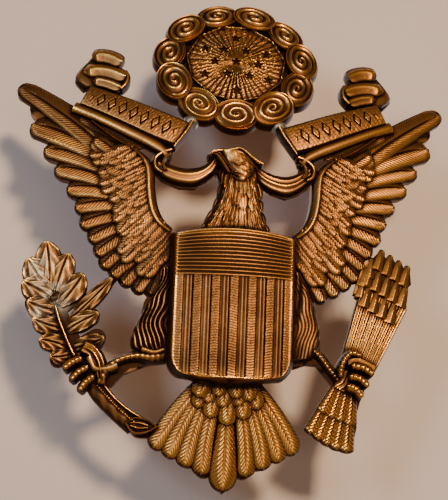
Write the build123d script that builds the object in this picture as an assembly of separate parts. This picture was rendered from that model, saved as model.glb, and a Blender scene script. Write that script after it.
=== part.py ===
from build123d import *
import math
import os

# A military-style cap badge: a pierced brass eagle with a shield on its breast, a ring of
# clouds above its head, a ribbon in its beak, an olive branch and a bundle of arrows in its
# talons. A threaded post and two locating pins behind it fix it to a cap, and a knurled thumb
# nut with a captive washer clamps it.
# Millimetres. +X is to the viewer's right, +Z up towards the clouds, and the front faces -Y.
# The origin is midway between the two locating pins, in the plane that the backs of the wing
# tips lie in. "left" and "right" in names are the viewer's.

# ---- driving dimensions ----------------------------------------------------------------
HEIGHT = 60.3              # tail tip to the top of the clouds, 2 3/8 inches
GRID_HEIGHT = 59.1         # the same height on the grid that the outlines below are drawn on
G = HEIGHT / GRID_HEIGHT   # millimetres in one grid unit

DOME_RADIUS = 112.0        # the whole badge is domed to this radius, hollow side to the cap
DOME_DEPTH = 4.9           # from the origin's plane to the hollow back at the middle
PRISM_FRONT = 16.0         # an outline is pushed out this far to the front before it is trimmed
PRISM_BACK = 8.0           # and this far to the back

PLATE = 1.8                # thickness of the wings and tail, measured along Y
LEG_TOP = 2.6              # heights in front of the hollow back
NECK_TOP = 3.6
HEAD_TOP = 3.2
FOOT_TOP = 3.3
SHIELD_RIM_TOP = 4.1
SHIELD_BULGE_RADIUS = 30.0
SHIELD_BULGE = 0.6
BRANCH_BACK, BRANCH_TOP = 0.2, 2.3
ARROWS_BACK, ARROWS_TOP = 0.2, 2.3
SCROLL_BACK, SCROLL_TOP = 0.6, 2.7
CURL_TOP = 3.2
RIBBON_BACK, RIBBON_TOP = 0.8, 2.4

CLOUD_CENTRE_Z = 23.1 * G
CLOUD_CENTRE_Y = -3.4
CLOUD_TILT = 14.5          # degrees, top leaning back
CLOUD_DOME_RADIUS = 38.0
CLOUD_PLATE = 2.0
CLOUD_COUNT = 11           # puffs in the ring
CLOUD_RING = (8.05 * G, 7.5 * G)     # half axes of the ring that the puffs sit on
CLOUD_PUFF = (2.55 * G, 1.72 * G)    # half axes of one puff, along and across the ring
CLOUD_DISC = (6.9 * G, 6.4 * G)      # half axes of the disc inside the ring

POST_Z = -6.6              # the post stands behind the middle of the shield
POST_RADIUS = 1.6          # 1/8 inch thread
POST_THREAD_END = 8.0      # Y where the thread stops
PILOT_RADIUS = 1.25
PILOT_LENGTH = 2.6
POST_CHAMFER = 0.3
BASE_RADIUS = 4.0
BASE_FACE_Y = -3.7         # flat back face of the post's base
PIN_SPACING = 24.0         # between the two locating pins
PIN_RADIUS = 0.7
PIN_END_Y = 4.0
PIN_FLANGE_RADIUS = 1.1    # each pin has a flange, which is soldered to the plate
PIN_FLANGE_Y = -3.6        # back face of the flange
POST_SOLDER = 0.7          # how far the solder round the post spreads and climbs
PIN_SOLDER = 0.5           # and round a pin's flange
SOLDER_WAIST = 0.35        # a fillet's hollow middle, as a share of its spread
SOLDER_SINK = 0.12         # a pin's fillet starts this far below the domed back
RIVET_AT = (4.2, -10.8)    # half spacing and height of the two shield rivets
RIVET_RADIUS = 0.6
RIVET_HOLE_RADIUS = 0.63
RIVET_HEAD_RADIUS = 1.1
RIVET_HEAD = 0.5

WASHER_FACE_Y = 0.9        # the face that meets the cap, at rest
WASHER_THICKNESS = 0.9
WASHER_RADIUS = 8.6
WASHER_BORE_RADIUS = 2.75
WASHER_RECESS_RADIUS = 3.6 # the nut's flare sits inside this recess, clear of the cap
WASHER_RECESS = 0.45
WASHER_EDGE = 0.2
NUT_RADIUS = 7.4
NUT_RIM_THICKNESS = 1.9
NUT_HUB_RADIUS = 3.6
NUT_HUB_LENGTH = 0.9
NUT_SPIGOT_RADIUS = 2.65
NUT_FLARE_RADIUS = 3.3
NUT_FLARE = 0.35
NUT_BORE_RADIUS = 1.65
NUT_GAP = 0.05             # running gap on each side of the captive washer
NUT_HUB_EDGE = 0.3
NUT_OVERLAP = 0.2          # how far the nut's hub and spigot run into its rim
KNURL_COUNT = 48
KNURL_DEPTH = 0.3
KNURL_LAND = 0.45          # share of the pitch that stays at full radius
KNURL_BOTTOM = 0.72        # where in the pitch the notch is deepest

# ---- outlines, in grid units, on +X where both sides are alike ---------------------------
# A blade is a tapered slot: its tip and root centres, then its tip and root radii.
FLIGHT_FEATHERS = [
    ((24.6, 19.0), (15.3, 12.4), 1.05, 1.20),
    ((22.5, 16.6), (15.4, 11.9), 1.45, 1.10),
    ((22.2, 13.8), (15.4, 10.5), 1.20, 0.90),
    ((20.7, 10.9), (15.1, 8.9), 1.10, 0.90),
    ((19.3, 8.5), (14.4, 7.2), 1.10, 0.90),
    ((17.8, 6.2), (13.7, 5.7), 1.05, 0.85),
    ((16.9, 4.2), (13.2, 4.6), 0.95, 0.80),
    ((16.3, 2.3), (12.8, 3.4), 0.90, 0.80),
    ((15.3, 0.7), (12.4, 2.3), 0.90, 0.80),
    ((14.6, -0.9), (11.8, 1.2), 0.85, 0.80),
    ((13.9, -2.3), (11.2, 0.2), 0.85, 0.80),
    ((12.8, -3.3), (10.2, -0.9), 0.85, 0.80),
    ((11.6, -4.2), (9.4, -1.4), 0.85, 0.80),
    ((10.2, -5.0), (8.4, -2.2), 0.80, 0.80),
    ((8.8, -5.3), (7.5, -2.1), 0.80, 0.80),
]
WING_CORE = [
    (21.0, 17.2), (18.7, 16.3), (15.8, 13.8), (13.4, 12.0), (11.8, 11.1), (10.7, 10.2),
    (10.0, 9.0), (9.8, 6.9), (9.5, 5.1), (9.2, 3.5), (8.4, 2.2), (7.2, 1.2), (6.0, 1.0),
    (6.0, -4.6), (8.6, -4.6), (10.0, -4.2), (11.4, -3.3), (12.6, -2.5), (13.6, -1.3),
    (14.3, 0.1), (15.0, 1.6), (15.8, 3.3), (16.4, 5.1), (17.2, 7.1), (18.8, 9.5),
    (20.2, 11.7), (21.6, 14.4), (22.4, 15.5),
]
BODY = [(0.0, 1.0), (6.3, 1.0), (6.4, -12.8), (5.0, -14.6), (3.6, -15.2), (0.0, -15.2)]
THIGH = [(6.0, -3.6), (8.6, -4.7), (9.6, -6.8), (10.1, -9.4), (10.2, -11.3), (9.7, -12.4),
         (7.4, -13.3), (6.0, -12.6)]
FOOT_LEFT = [(-8.5, -12.0), (-10.5, -12.2), (-12.0, -13.1), (-13.4, -13.6), (-14.4, -13.9),
             (-14.4, -15.4), (-13.7, -16.3), (-12.6, -16.1), (-11.4, -14.7), (-9.0, -13.7),
             (-7.1, -13.3)]
TOES_LEFT = [
    ((-17.4, -14.7), (-13.6, -14.4), 0.60, 0.60),
    ((-16.6, -15.8), (-13.6, -14.7), 0.60, 0.60),
    ((-15.6, -16.7), (-13.5, -15.1), 0.60, 0.60),
]
FOOT_RIGHT = [(8.0, -10.9), (9.8, -11.0), (10.6, -11.6), (12.1, -13.2), (12.5, -12.4),
              (13.3, -12.3), (12.9, -15.2), (12.0, -15.4), (11.6, -14.7), (9.9, -12.8),
              (8.0, -12.8)]
TOES_RIGHT = [
    ((16.0, -13.7), (12.9, -12.9), 0.60, 0.60),
    ((15.5, -15.0), (12.9, -14.0), 0.60, 0.60),
    ((14.9, -16.2), (12.7, -14.9), 0.60, 0.60),
    ((14.2, -11.7), (12.8, -12.4), 0.45, 0.50),
]
NECK = [(-3.7, 1.0), (-2.4, 3.6), (-1.75, 5.0), (-1.5, 7.4), (-1.8, 9.0), (2.4, 9.4),
        (2.6, 7.8), (2.85, 5.8), (3.1, 3.9), (3.9, 1.0)]
HEAD = [(-1.7, 8.2), (-2.5, 9.1), (-2.9, 10.2), (-2.2, 11.1), (-1.0, 11.2), (0.4, 11.5),
        (1.6, 10.7), (2.5, 9.7), (2.7, 8.4)]
TAIL_FEATHERS = [
    ((7.0, -21.5), (2.9, -15.2), 1.00, 0.70),
    ((5.4, -22.5), (2.4, -15.2), 1.00, 0.70),
    ((3.8, -23.5), (1.7, -15.2), 1.00, 0.70),
    ((2.1, -24.5), (0.9, -15.2), 1.00, 0.70),
]
TAIL_CENTRE = [(0.0, -15.2), (1.2, -15.2), (1.6, -24.4), (0.9, -26.3), (0.0, -27.1)]
TAIL_CORE = [(0.0, -15.0), (3.6, -15.0), (4.3, -17.0), (7.4, -21.4), (0.0, -24.0)]

SHIELD_TOP_CENTRE = (0.0, 1.5)
SHIELD_CORNER = (6.8, 0.8)
SHIELD_SIDE_BOTTOM = (7.0, -12.9)
SHIELD_FOOT = (5.2, -15.1)
SHIELD_POINT = (0.0, -15.8)
SHIELD_FOOT_TURN = 82      # degrees that the lower corners' arcs turn through

SCROLL_BAND = [(5.3, 14.5), (11.3, 17.3), (17.1, 19.4), (18.3, 16.8), (18.9, 16.1),
               (13.4, 13.6), (9.4, 11.2), (8.6, 8.9), (7.3, 9.2), (7.5, 10.2)]
SCROLL_CURL = [(17.1, 19.2), (13.7, 18.2), (12.5, 19.8), (12.7, 20.7), (13.9, 21.7),
               (13.4, 22.5), (13.9, 23.6), (15.5, 24.7), (16.6, 24.3), (18.9, 20.9),
               (18.9, 20.0), (17.9, 18.9)]
RIBBON_RIGHT = [(2.2, 9.9), (3.5, 9.1), (4.8, 8.6), (6.2, 8.6), (7.4, 9.2), (8.4, 10.4),
                (9.6, 10.0), (9.2, 8.4), (8.4, 7.4), (7.4, 6.6), (5.9, 6.0), (4.2, 6.5),
                (2.4, 7.9)]
RIBBON_LEFT = [(-2.7, 10.4), (-3.0, 9.9), (-4.0, 9.1), (-5.7, 8.8), (-7.4, 9.2),
               (-8.4, 10.4), (-9.6, 10.0), (-9.2, 8.4), (-8.3, 7.4), (-6.3, 6.6),
               (-4.4, 6.6), (-2.8, 7.8), (-2.0, 8.9)]

OLIVE_LEAVES = [
    ((-20.6, -1.1), (-20.1, -3.4), 1.00, 1.25),
    ((-18.5, -2.6), (-19.0, -4.6), 1.10, 1.25),
    ((-17.2, -4.9), (-18.4, -6.8), 1.10, 1.20),
    ((-22.0, -3.0), (-20.6, -4.4), 1.00, 1.25),
    ((-22.1, -5.1), (-20.4, -5.8), 1.10, 1.30),
    ((-21.8, -7.1), (-19.6, -7.6), 0.95, 1.20),
    ((-12.9, -4.0), (-16.4, -7.5), 0.30, 0.95),
    ((-15.3, -8.5), (-17.6, -9.9), 0.95, 0.80),
    ((-14.6, -10.9), (-16.9, -12.0), 1.05, 0.80),
    ((-20.9, -9.1), (-18.5, -9.8), 0.90, 0.80),
    ((-20.0, -11.4), (-17.6, -11.8), 0.85, 0.70),
    ((-18.7, -13.2), (-16.9, -12.9), 0.90, 0.70),
]
OLIVE_STEM = [
    ((-19.6, -6.5), (-16.4, -13.2), 0.70, 1.20),
    ((-16.4, -13.2), (-14.2, -16.3), 1.20, 0.95),
    ((-14.2, -16.3), (-12.0, -18.6), 0.95, 0.85),
    ((-12.0, -18.6), (-9.4, -20.5), 0.85, 0.95),
    ((-9.4, -20.5), (-7.9, -20.9), 0.95, 0.60),
]
ARROWS = [
    (15.9, -0.5), (17.3, 1.0), (17.9, -0.1), (18.4, 0.5), (19.0, -0.4), (19.5, 0.0),
    (20.1, -1.1), (20.7, -0.6), (20.9, -2.8), (20.4, -2.9), (20.1, -5.0), (19.6, -5.2),
    (19.2, -7.6), (18.6, -8.0), (17.1, -11.3), (16.2, -13.2), (14.9, -16.8), (14.5, -18.5),
    (14.7, -19.3), (14.4, -20.9), (13.7, -22.0), (11.5, -21.2), (9.6, -20.1), (9.3, -19.3),
    (10.7, -17.1), (12.2, -15.2), (13.4, -11.0), (14.5, -6.0), (15.3, -3.4), (14.7, -2.3),
]
CLOUD_JOINT = (5.15, 15.0)   # where the cloud ring is soldered to the ribbon
CLOUD_JOINT_RADIUS = 0.95
CLOUD_JOINT_Y = -5.0


# ---- helpers -----------------------------------------------------------------------------
def grid(points, side=1):
    """Outline points in millimetres, mirrored for side -1."""
    return [(side * x * G, z * G) for x, z in points]


def area(points, side=1):
    """A flat face with straight sides through the outline's points."""
    return make_face(Polyline(*grid(points, side), close=True))


def blade(tip, root, tip_radius, root_radius, side=1):
    """A tapered slot: the hull of two circles, given by their centres and radii."""
    end, start = [Vector(*at) for at in grid([tip, root], side)]
    a, b = root_radius * G, tip_radius * G
    along = (end - start).normalized()
    lean = math.degrees(math.acos((a - b) / (end - start).length))
    one, other = along.rotate(Axis.Z, lean), along.rotate(Axis.Z, -lean)
    return make_face([
        Line(start + one * a, end + one * b),
        ThreePointArc(end + one * b, end + along * b, end + other * b),
        Line(end + other * b, start + other * a),
        ThreePointArc(start + other * a, start - along * a, start + one * a),
    ])


def dome(height):
    """The ball whose surface is the badge's hollow back, moved forward by height."""
    return Pos(0, DOME_RADIUS - DOME_DEPTH - height, 0) * Sphere(DOME_RADIUS)


def prism(outline):
    """An outline drawn on X and Z, pushed out along Y to both sides of the badge."""
    start = Plane.XZ.offset(-PRISM_BACK)
    return extrude(start * outline, amount=PRISM_BACK + PRISM_FRONT)


def relief(outline, back, front):
    """A domed plate with that outline, from one height to another."""
    return prism(outline) & dome(front) - dome(back)


def merged(parts):
    """The union of several faces or solids."""
    whole = parts[0]
    for part in parts[1:]:
        whole = whole + part
    return whole


def along_y(radius, start, end, x=0.0, z=0.0):
    """A cylinder along Y from one Y to another."""
    return Pos(x, 0, z) * extrude(Plane.XZ.offset(-end) * Circle(radius), amount=end - start)


def fillet_ring(radius, spread, y, x=0.0, z=0.0):
    """A ring of solder round a shaft, standing on a face at y and climbing along +Y."""
    foot = (radius + spread, y)
    top = (radius, y + spread)
    waist = (radius + spread * SOLDER_WAIST, y + spread * SOLDER_WAIST)
    profile = make_face(
        Line((radius, y), foot) + ThreePointArc(foot, waist, top) + Line(top, (radius, y))
    )
    return Pos(x, 0, z) * revolve(profile, Axis.Y)


# ---- the struck front pieces -------------------------------------------------------------
def eagle_plate():
    """Wings, body, legs, neck, head and tail, struck and pierced from one sheet."""
    flat = [area(outline) for outline in (NECK, HEAD, FOOT_LEFT, FOOT_RIGHT)]
    for side in (-1, 1):
        flat += [blade(*feather, side) for feather in FLIGHT_FEATHERS + TAIL_FEATHERS]
        flat += [area(outline, side) for outline in (WING_CORE, BODY, THIGH, TAIL_CENTRE,
                                                     TAIL_CORE)]
    raised = [relief(area(NECK), 0, NECK_TOP), relief(area(HEAD), 0, HEAD_TOP)]
    raised += [relief(area(THIGH, side), 0, LEG_TOP) for side in (-1, 1)]
    for foot, toes, behind in ((FOOT_LEFT, TOES_LEFT, BRANCH_TOP),
                               (FOOT_RIGHT, TOES_RIGHT, ARROWS_TOP)):
        raised.append(relief(area(foot), 0, FOOT_TOP))
        raised.append(relief(merged([blade(*toe) for toe in toes]), behind, FOOT_TOP))
    plate = merged([relief(merged(flat), 0, PLATE)] + raised)
    for side in (-1, 1):
        x, z = side * RIVET_AT[0], RIVET_AT[1]
        plate -= along_y(RIVET_HOLE_RADIUS, -PRISM_FRONT, PRISM_BACK, x, z)
    return plate - shield_block()


def shield_outline():
    """The shield's face: an arched top, near-straight sides and a pointed foot."""
    top, corner, side, foot, point = grid(
        [SHIELD_TOP_CENTRE, SHIELD_CORNER, SHIELD_SIDE_BOTTOM, SHIELD_FOOT, SHIELD_POINT])
    edges = []
    for s in (-1, 1):
        at = [(s * x, z) for x, z in (corner, side, foot)]
        edges.append(Line(at[0], at[1]))
        edges.append(JernArc(at[1], (0, -1), side[0] - foot[0], s * -SHIELD_FOOT_TURN))
        edges.append(Line(edges[-1] @ 1, point))
    edges.append(ThreePointArc((-corner[0], corner[1]), top, corner))
    return make_face(edges)


def shield_block():
    """The space in front of the plate that the shield fills."""
    return prism(shield_outline()) - dome(PLATE)


def shield():
    """The shield: a thick plate whose face bulges across its width."""
    bulge = Pos(0, SHIELD_BULGE_RADIUS - SHIELD_BULGE, 0) * Cylinder(
        SHIELD_BULGE_RADIUS, 2 * SHIELD_BULGE_RADIUS)
    front = dome(SHIELD_RIM_TOP + SHIELD_BULGE) & (
        Pos(0, -DOME_DEPTH - SHIELD_RIM_TOP, 0) * bulge)
    return prism(shield_outline()) & front - dome(PLATE)


def cloud_ring():
    """The ring of clouds round a rayed disc, domed and leaning back on its own."""
    ring = [Ellipse(*CLOUD_DISC)]
    for puff in range(CLOUD_COUNT):
        turn = 360 * puff / CLOUD_COUNT - 90
        at = Vector(1, 0).rotate(Axis.Z, turn)
        place = Pos(at.X * CLOUD_RING[0], at.Y * CLOUD_RING[1]) * Rot(0, 0, turn + 90)
        ring.append(place * Ellipse(*CLOUD_PUFF))
    solid = prism(merged(ring))
    solid = solid & (Pos(0, CLOUD_DOME_RADIUS - CLOUD_PLATE, 0) * Sphere(CLOUD_DOME_RADIUS))
    solid = solid - Pos(0, CLOUD_DOME_RADIUS, 0) * Sphere(CLOUD_DOME_RADIUS)
    return Pos(0, CLOUD_CENTRE_Y, CLOUD_CENTRE_Z) * Rot(-CLOUD_TILT, 0, 0) * solid


def scroll(side, ribbon, eagle):
    """One half of the ribbon: its band, the rolled end and the length that runs to the beak."""
    whole = merged([
        relief(area(SCROLL_BAND, side), SCROLL_BACK, SCROLL_TOP),
        relief(area(SCROLL_CURL, side), SCROLL_BACK, CURL_TOP),
        relief(area(ribbon), RIBBON_BACK, RIBBON_TOP),
    ])
    return whole - eagle


def cloud_solder(neighbours):
    """Two drops of solder that hold the cloud ring to the ribbon."""
    drops = []
    for side in (-1, 1):
        x, z = grid([CLOUD_JOINT], side)[0]
        drop = Pos(x, CLOUD_JOINT_Y, z) * Sphere(CLOUD_JOINT_RADIUS)
        for neighbour in neighbours:
            drop -= neighbour
        drops.append(max(drop.solids(), key=lambda solid: solid.volume))
    return Compound(children=drops)


def olive_branch(eagle):
    """Leaves on both sides of a stem that runs behind the toes to a bud at the tail."""
    outline = merged([blade(*part) for part in OLIVE_STEM + OLIVE_LEAVES])
    return relief(outline, BRANCH_BACK, BRANCH_TOP) - eagle


def arrow_bundle(eagle):
    """A sheaf of arrows, heads up, tied by the toes, with flared feathers below."""
    return relief(area(ARROWS), ARROWS_BACK, ARROWS_TOP) - eagle


# ---- the fixing behind the badge ---------------------------------------------------------
def post_base():
    """A disc that fits the plate's hollow back and has a flat face for the post."""
    disc = along_y(BASE_RADIUS, -DOME_DEPTH - 1, BASE_FACE_Y, z=POST_Z) & dome(0)
    return disc - along_y(POST_RADIUS, -DOME_DEPTH - 1, BASE_FACE_Y, z=POST_Z)


def screw_post():
    """The threaded post, on the plate's back, with a plain pilot at its free end."""
    thread = along_y(POST_RADIUS, -DOME_DEPTH - 1, POST_THREAD_END, z=POST_Z) & dome(0)
    pilot_end = POST_THREAD_END + PILOT_LENGTH
    pilot = along_y(PILOT_RADIUS, POST_THREAD_END - 1, pilot_end, z=POST_Z)
    pilot = chamfer(pilot.edges().sort_by(Axis.Y)[-1], POST_CHAMFER)
    return thread + pilot


def locating_pin(side):
    x = side * PIN_SPACING / 2
    pin = along_y(PIN_RADIUS, PIN_FLANGE_Y, PIN_END_Y, x)
    pin = chamfer(pin.edges().sort_by(Axis.Y)[-1], POST_CHAMFER)
    flange = along_y(PIN_FLANGE_RADIUS, -DOME_DEPTH - 1, PIN_FLANGE_Y, x)
    return pin + (flange & dome(0))


def pin_solder(side):
    """Solder round a locating pin's flange, on the domed back."""
    x = side * PIN_SPACING / 2
    foot_y = -DOME_DEPTH + x ** 2 / (2 * DOME_RADIUS)
    return fillet_ring(PIN_FLANGE_RADIUS, PIN_SOLDER, foot_y - SOLDER_SINK, x) & dome(0)


def shield_rivets():
    """Two rivets from the shield's back through the plate, peened over behind it."""
    rivets = []
    for side in (-1, 1):
        x, z = side * RIVET_AT[0], RIVET_AT[1]
        shank = along_y(RIVET_RADIUS, -PRISM_FRONT, PRISM_BACK, x, z) & dome(PLATE) - dome(0)
        head = along_y(RIVET_HEAD_RADIUS, -PRISM_FRONT, PRISM_BACK, x, z)
        rivets.append(shank + (head & dome(0) - dome(-RIVET_HEAD)))
    return Compound(children=rivets)


def clamp_washer():
    """A loose disc, recessed round its bore on the side that meets the cap."""
    end = WASHER_FACE_Y + WASHER_THICKNESS
    ring = along_y(WASHER_RADIUS, WASHER_FACE_Y, end)
    ring = fillet(ring.edges(), WASHER_EDGE)
    ring -= along_y(WASHER_BORE_RADIUS, WASHER_FACE_Y, end)
    ring -= along_y(WASHER_RECESS_RADIUS, WASHER_FACE_Y, WASHER_FACE_Y + WASHER_RECESS)
    return Pos(0, 0, POST_Z) * ring


def knurled_outline():
    """A circle with evenly spaced V notches."""
    bottom = NUT_RADIUS - KNURL_DEPTH
    notch = ((0.0, NUT_RADIUS), (KNURL_LAND, NUT_RADIUS), (KNURL_BOTTOM, bottom))
    points = []
    for tooth in range(KNURL_COUNT):
        for share, radius in notch:
            at = Vector(radius, 0).rotate(Axis.Z, 360 * (tooth + share) / KNURL_COUNT)
            points.append((at.X, at.Y))
    return make_face(Polyline(*points, close=True))


def thumb_nut():
    """A knurled disc with a hub behind and a flared spigot that holds the washer in front."""
    rim_start = WASHER_FACE_Y + WASHER_THICKNESS + NUT_GAP
    rim_end = rim_start + NUT_RIM_THICKNESS
    rim = extrude(Plane.XZ.offset(-rim_end) * knurled_outline(), amount=NUT_RIM_THICKNESS)
    hub_end = rim_end + NUT_HUB_LENGTH
    hub = along_y(NUT_HUB_RADIUS, rim_end - NUT_OVERLAP, hub_end)
    hub = fillet(hub.edges().sort_by(Axis.Y)[-1], NUT_HUB_EDGE)
    flare_end = WASHER_FACE_Y + WASHER_RECESS - NUT_GAP
    flare_start = flare_end - NUT_FLARE
    spigot = along_y(NUT_SPIGOT_RADIUS, flare_start, rim_start + NUT_OVERLAP)
    flare = along_y(NUT_FLARE_RADIUS, flare_start, flare_end)
    bore = along_y(NUT_BORE_RADIUS, flare_start, hub_end)
    return Pos(0, 0, POST_Z) * (merged([rim, hub, spigot, flare]) - bore)


def main():
    os.makedirs("parts", exist_ok=True)
    eagle = eagle_plate()
    clouds = cloud_ring()
    scrolls = {side: scroll(side, ribbon, eagle)
               for side, ribbon in ((-1, RIBBON_LEFT), (1, RIBBON_RIGHT))}
    nodes = {
        "eagle_plate": eagle,
        "shield": shield(),
        "cloud_ring": clouds,
        "scroll_left": scrolls[-1],
        "scroll_right": scrolls[1],
        "olive_branch": olive_branch(eagle),
        "arrow_bundle": arrow_bundle(eagle),
        "cloud_solder": cloud_solder([clouds, scrolls[-1], scrolls[1]]),
        "shield_rivets": shield_rivets(),
        "post_base": post_base(),
        "screw_post": screw_post(),
        "post_solder": fillet_ring(POST_RADIUS, POST_SOLDER, BASE_FACE_Y, z=POST_Z),
        "locating_pin_left": locating_pin(-1),
        "locating_pin_right": locating_pin(1),
        "pin_solder_left": pin_solder(-1),
        "pin_solder_right": pin_solder(1),
        "clamp_washer": clamp_washer(),
        "thumb_nut": thumb_nut(),
    }
    for name, shape in nodes.items():
        export_step(shape, f"parts/{name}.step")


main()
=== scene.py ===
import math

import bmesh
import bpy
import numpy as np
from mathutils import Matrix, Vector


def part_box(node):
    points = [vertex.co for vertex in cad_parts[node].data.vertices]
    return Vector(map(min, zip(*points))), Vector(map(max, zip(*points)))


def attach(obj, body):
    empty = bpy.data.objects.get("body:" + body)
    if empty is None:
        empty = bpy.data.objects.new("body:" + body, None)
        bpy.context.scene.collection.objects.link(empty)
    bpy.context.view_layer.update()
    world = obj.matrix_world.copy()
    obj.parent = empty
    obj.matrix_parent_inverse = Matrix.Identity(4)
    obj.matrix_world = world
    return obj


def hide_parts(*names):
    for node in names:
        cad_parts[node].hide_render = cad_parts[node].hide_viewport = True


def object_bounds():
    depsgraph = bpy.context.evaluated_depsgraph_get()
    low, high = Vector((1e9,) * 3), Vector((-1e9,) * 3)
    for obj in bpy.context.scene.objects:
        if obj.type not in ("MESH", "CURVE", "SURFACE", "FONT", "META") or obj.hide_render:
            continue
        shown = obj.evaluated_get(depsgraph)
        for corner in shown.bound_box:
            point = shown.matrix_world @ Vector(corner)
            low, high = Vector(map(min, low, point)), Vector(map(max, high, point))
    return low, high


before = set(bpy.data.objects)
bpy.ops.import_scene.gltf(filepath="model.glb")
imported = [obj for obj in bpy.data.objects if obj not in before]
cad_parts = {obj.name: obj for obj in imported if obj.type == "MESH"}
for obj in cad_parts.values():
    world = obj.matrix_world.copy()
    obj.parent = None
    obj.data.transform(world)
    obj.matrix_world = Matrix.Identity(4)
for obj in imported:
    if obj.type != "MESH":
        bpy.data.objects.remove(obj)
cad_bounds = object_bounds()

# ---- sizes -------------------------------------------------------------------------------
# Shapes are drawn on the same grid as the CAD outlines. Lengths are in millimetres until a
# piece becomes a mesh. Heights are measured forwards from the badge's hollow back.
MM = 0.001
GRID_HEIGHT = 59.1
G = (cad_bounds[1][2] - cad_bounds[0][2]) / MM / GRID_HEIGHT
DOME_RADIUS = 112.0
DOME_DEPTH = 4.9
SHEET = 1.45               # how thick the plain sheet under the relief is
SUNK = 0.7                 # height at which a relief shape ends, inside the sheet
BEHIND = -0.5              # a height behind every plate's back
POST_Z = -6.6
PITCH, THREAD_RADIUS, THREAD_DEPTH, THREAD_END, PILOT_RADIUS = 0.635, 1.6, 0.38, 8.0, 1.25
PILOT_BEVEL = 0.3
WORN_SPOTS = [(-22.2, -3.9, 1.7), (-19.3, -7.6, 0.9), (-21.9, -8.8, 1.1), (-20.4, -5.6, 1.3)]


# ---- surfaces ----------------------------------------------------------------------------
def dome_y(x, z):
    """Y of the badge's hollow back."""
    return DOME_RADIUS - DOME_DEPTH - np.sqrt(DOME_RADIUS ** 2 - x * x - z * z)


def on_badge(x, z, h):
    """Places points that stand h in front of the hollow back."""
    x, z, h = np.broadcast_arrays(x, z, h)
    return np.stack([x, dome_y(x, z) - h, z], -1)


def smooth(low, high, value):
    """0 before low, 1 past high, and a soft climb between them."""
    t = np.clip((value - low) / (high - low), 0, 1)
    return t * t * (3 - 2 * t)


def path(points, count):
    """A smooth curve through points, as count evenly spaced points."""
    p = np.array(points, float)
    p = np.vstack([2 * p[0] - p[1], p, 2 * p[-1] - p[-2]])
    t = np.linspace(0, 1, 24, endpoint=False)[:, None]
    runs = []
    for a, b, c, d in zip(p, p[1:], p[2:], p[3:]):
        runs.append(0.5 * (2 * b + (c - a) * t + (2 * a - 5 * b + 4 * c - d) * t ** 2
                           + (3 * b - a - 3 * c + d) * t ** 3))
    dense = np.vstack(runs + [p[-2:-1]])
    travelled = np.concatenate([[0], np.cumsum(np.linalg.norm(np.diff(dense, axis=0), axis=1))])
    even = np.linspace(0, travelled[-1], count)
    return np.stack([np.interp(even, travelled, dense[:, k]) for k in (0, 1)], -1)


def bumps(x, z, size, seed):
    """Smooth pseudo-random relief between -1 and 1, with features of that size."""
    total = np.zeros(np.broadcast(x, z).shape)
    turns = np.random.default_rng(seed).uniform(0, 2 * math.pi, (7, 2))
    for k, (turn, phase) in enumerate(turns):
        scale = (0.7 + 0.17 * k) * 2 * math.pi / size
        total += np.sin(scale * (x * math.cos(turn) + z * math.sin(turn)) + phase)
    return total / 3.5


class Relief:
    """Closed solids that together make one piece's struck relief."""

    def __init__(self, place=on_badge):
        self.place = place
        self.points = []
        self.faces = []
        self.count = 0
        self.samples = []

    def add(self, x, z, h):
        at = self.place(x, z, h)
        ids = np.arange(self.count, self.count + at[..., 0].size).reshape(at.shape[:-1])
        self.points.append(at.reshape(-1, 3))
        self.count += ids.size
        return ids

    def quads(self, a, b, c, d):
        self.faces += np.stack([a.ravel(), b.ravel(), c.ravel(), d.ravel()], -1).tolist()

    def patch(self, x, z, h, base=SUNK):
        """A closed solid whose front is a grid: rows along it, columns across it."""
        top = self.add(x, z, h)
        left = self.add(x[:, 0], z[:, 0], np.full(len(x), base))
        right = self.add(x[:, -1], z[:, -1], np.full(len(x), base))
        self.quads(top[:-1, :-1], top[:-1, 1:], top[1:, 1:], top[1:, :-1])
        self.quads(left[:-1], top[:-1, 0], top[1:, 0], left[1:])
        self.quads(top[:-1, -1], right[:-1], right[1:], top[1:, -1])
        self.quads(right[:-1], left[:-1], left[1:], right[1:])
        self.faces.append([left[0], right[0]] + top[0, ::-1].tolist())
        self.faces.append([right[-1], left[-1]] + top[-1].tolist())
        self.samples.append(self.points[-3].reshape(x.shape + (3,)))

    def disc(self, x, z, h, base=SUNK):
        """A closed solid whose front is rings of points, the first ring round its middle."""
        top = self.add(x, z, h)
        ends = np.roll(top, -1, axis=1)
        self.quads(top[:-1], ends[:-1], ends[1:], top[1:])
        self.faces.append(top[0, ::-1].tolist())
        foot = self.add(x[-1], z[-1], np.full(x.shape[1], base))
        self.quads(top[-1], ends[-1], np.roll(foot, -1), foot)
        self.faces.append(foot.tolist())
        self.samples.append(self.points[-2].reshape(x.shape + (3,)))


def grid(rows, cols, low=-1):
    """Even values from 0 to 1 along the rows, and from low to 1 across the columns."""
    return np.linspace(0, 1, rows)[:, None], np.linspace(low, 1, cols)[None, :]


def rings(first, count, segments):
    """Even radii from first to 1, and even angles all the way round."""
    angle = np.linspace(0, 2 * math.pi, segments, endpoint=False)
    return np.linspace(first, 1, count)[:, None], angle[None, :]


def turned(at, a, b, turn):
    """Turns points about the origin, then moves them to a place on the grid."""
    c, s = math.cos(turn), math.sin(turn)
    return at[0] * G + a * c - b * s, at[1] * G + a * s + b * c


def rounded(low, high):
    """Cross section of a round-topped strap."""
    return lambda s, t: low + (high - low) * np.sqrt(np.clip(1 - 0.98 * t * t, 0, 1)) + 0 * s


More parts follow.
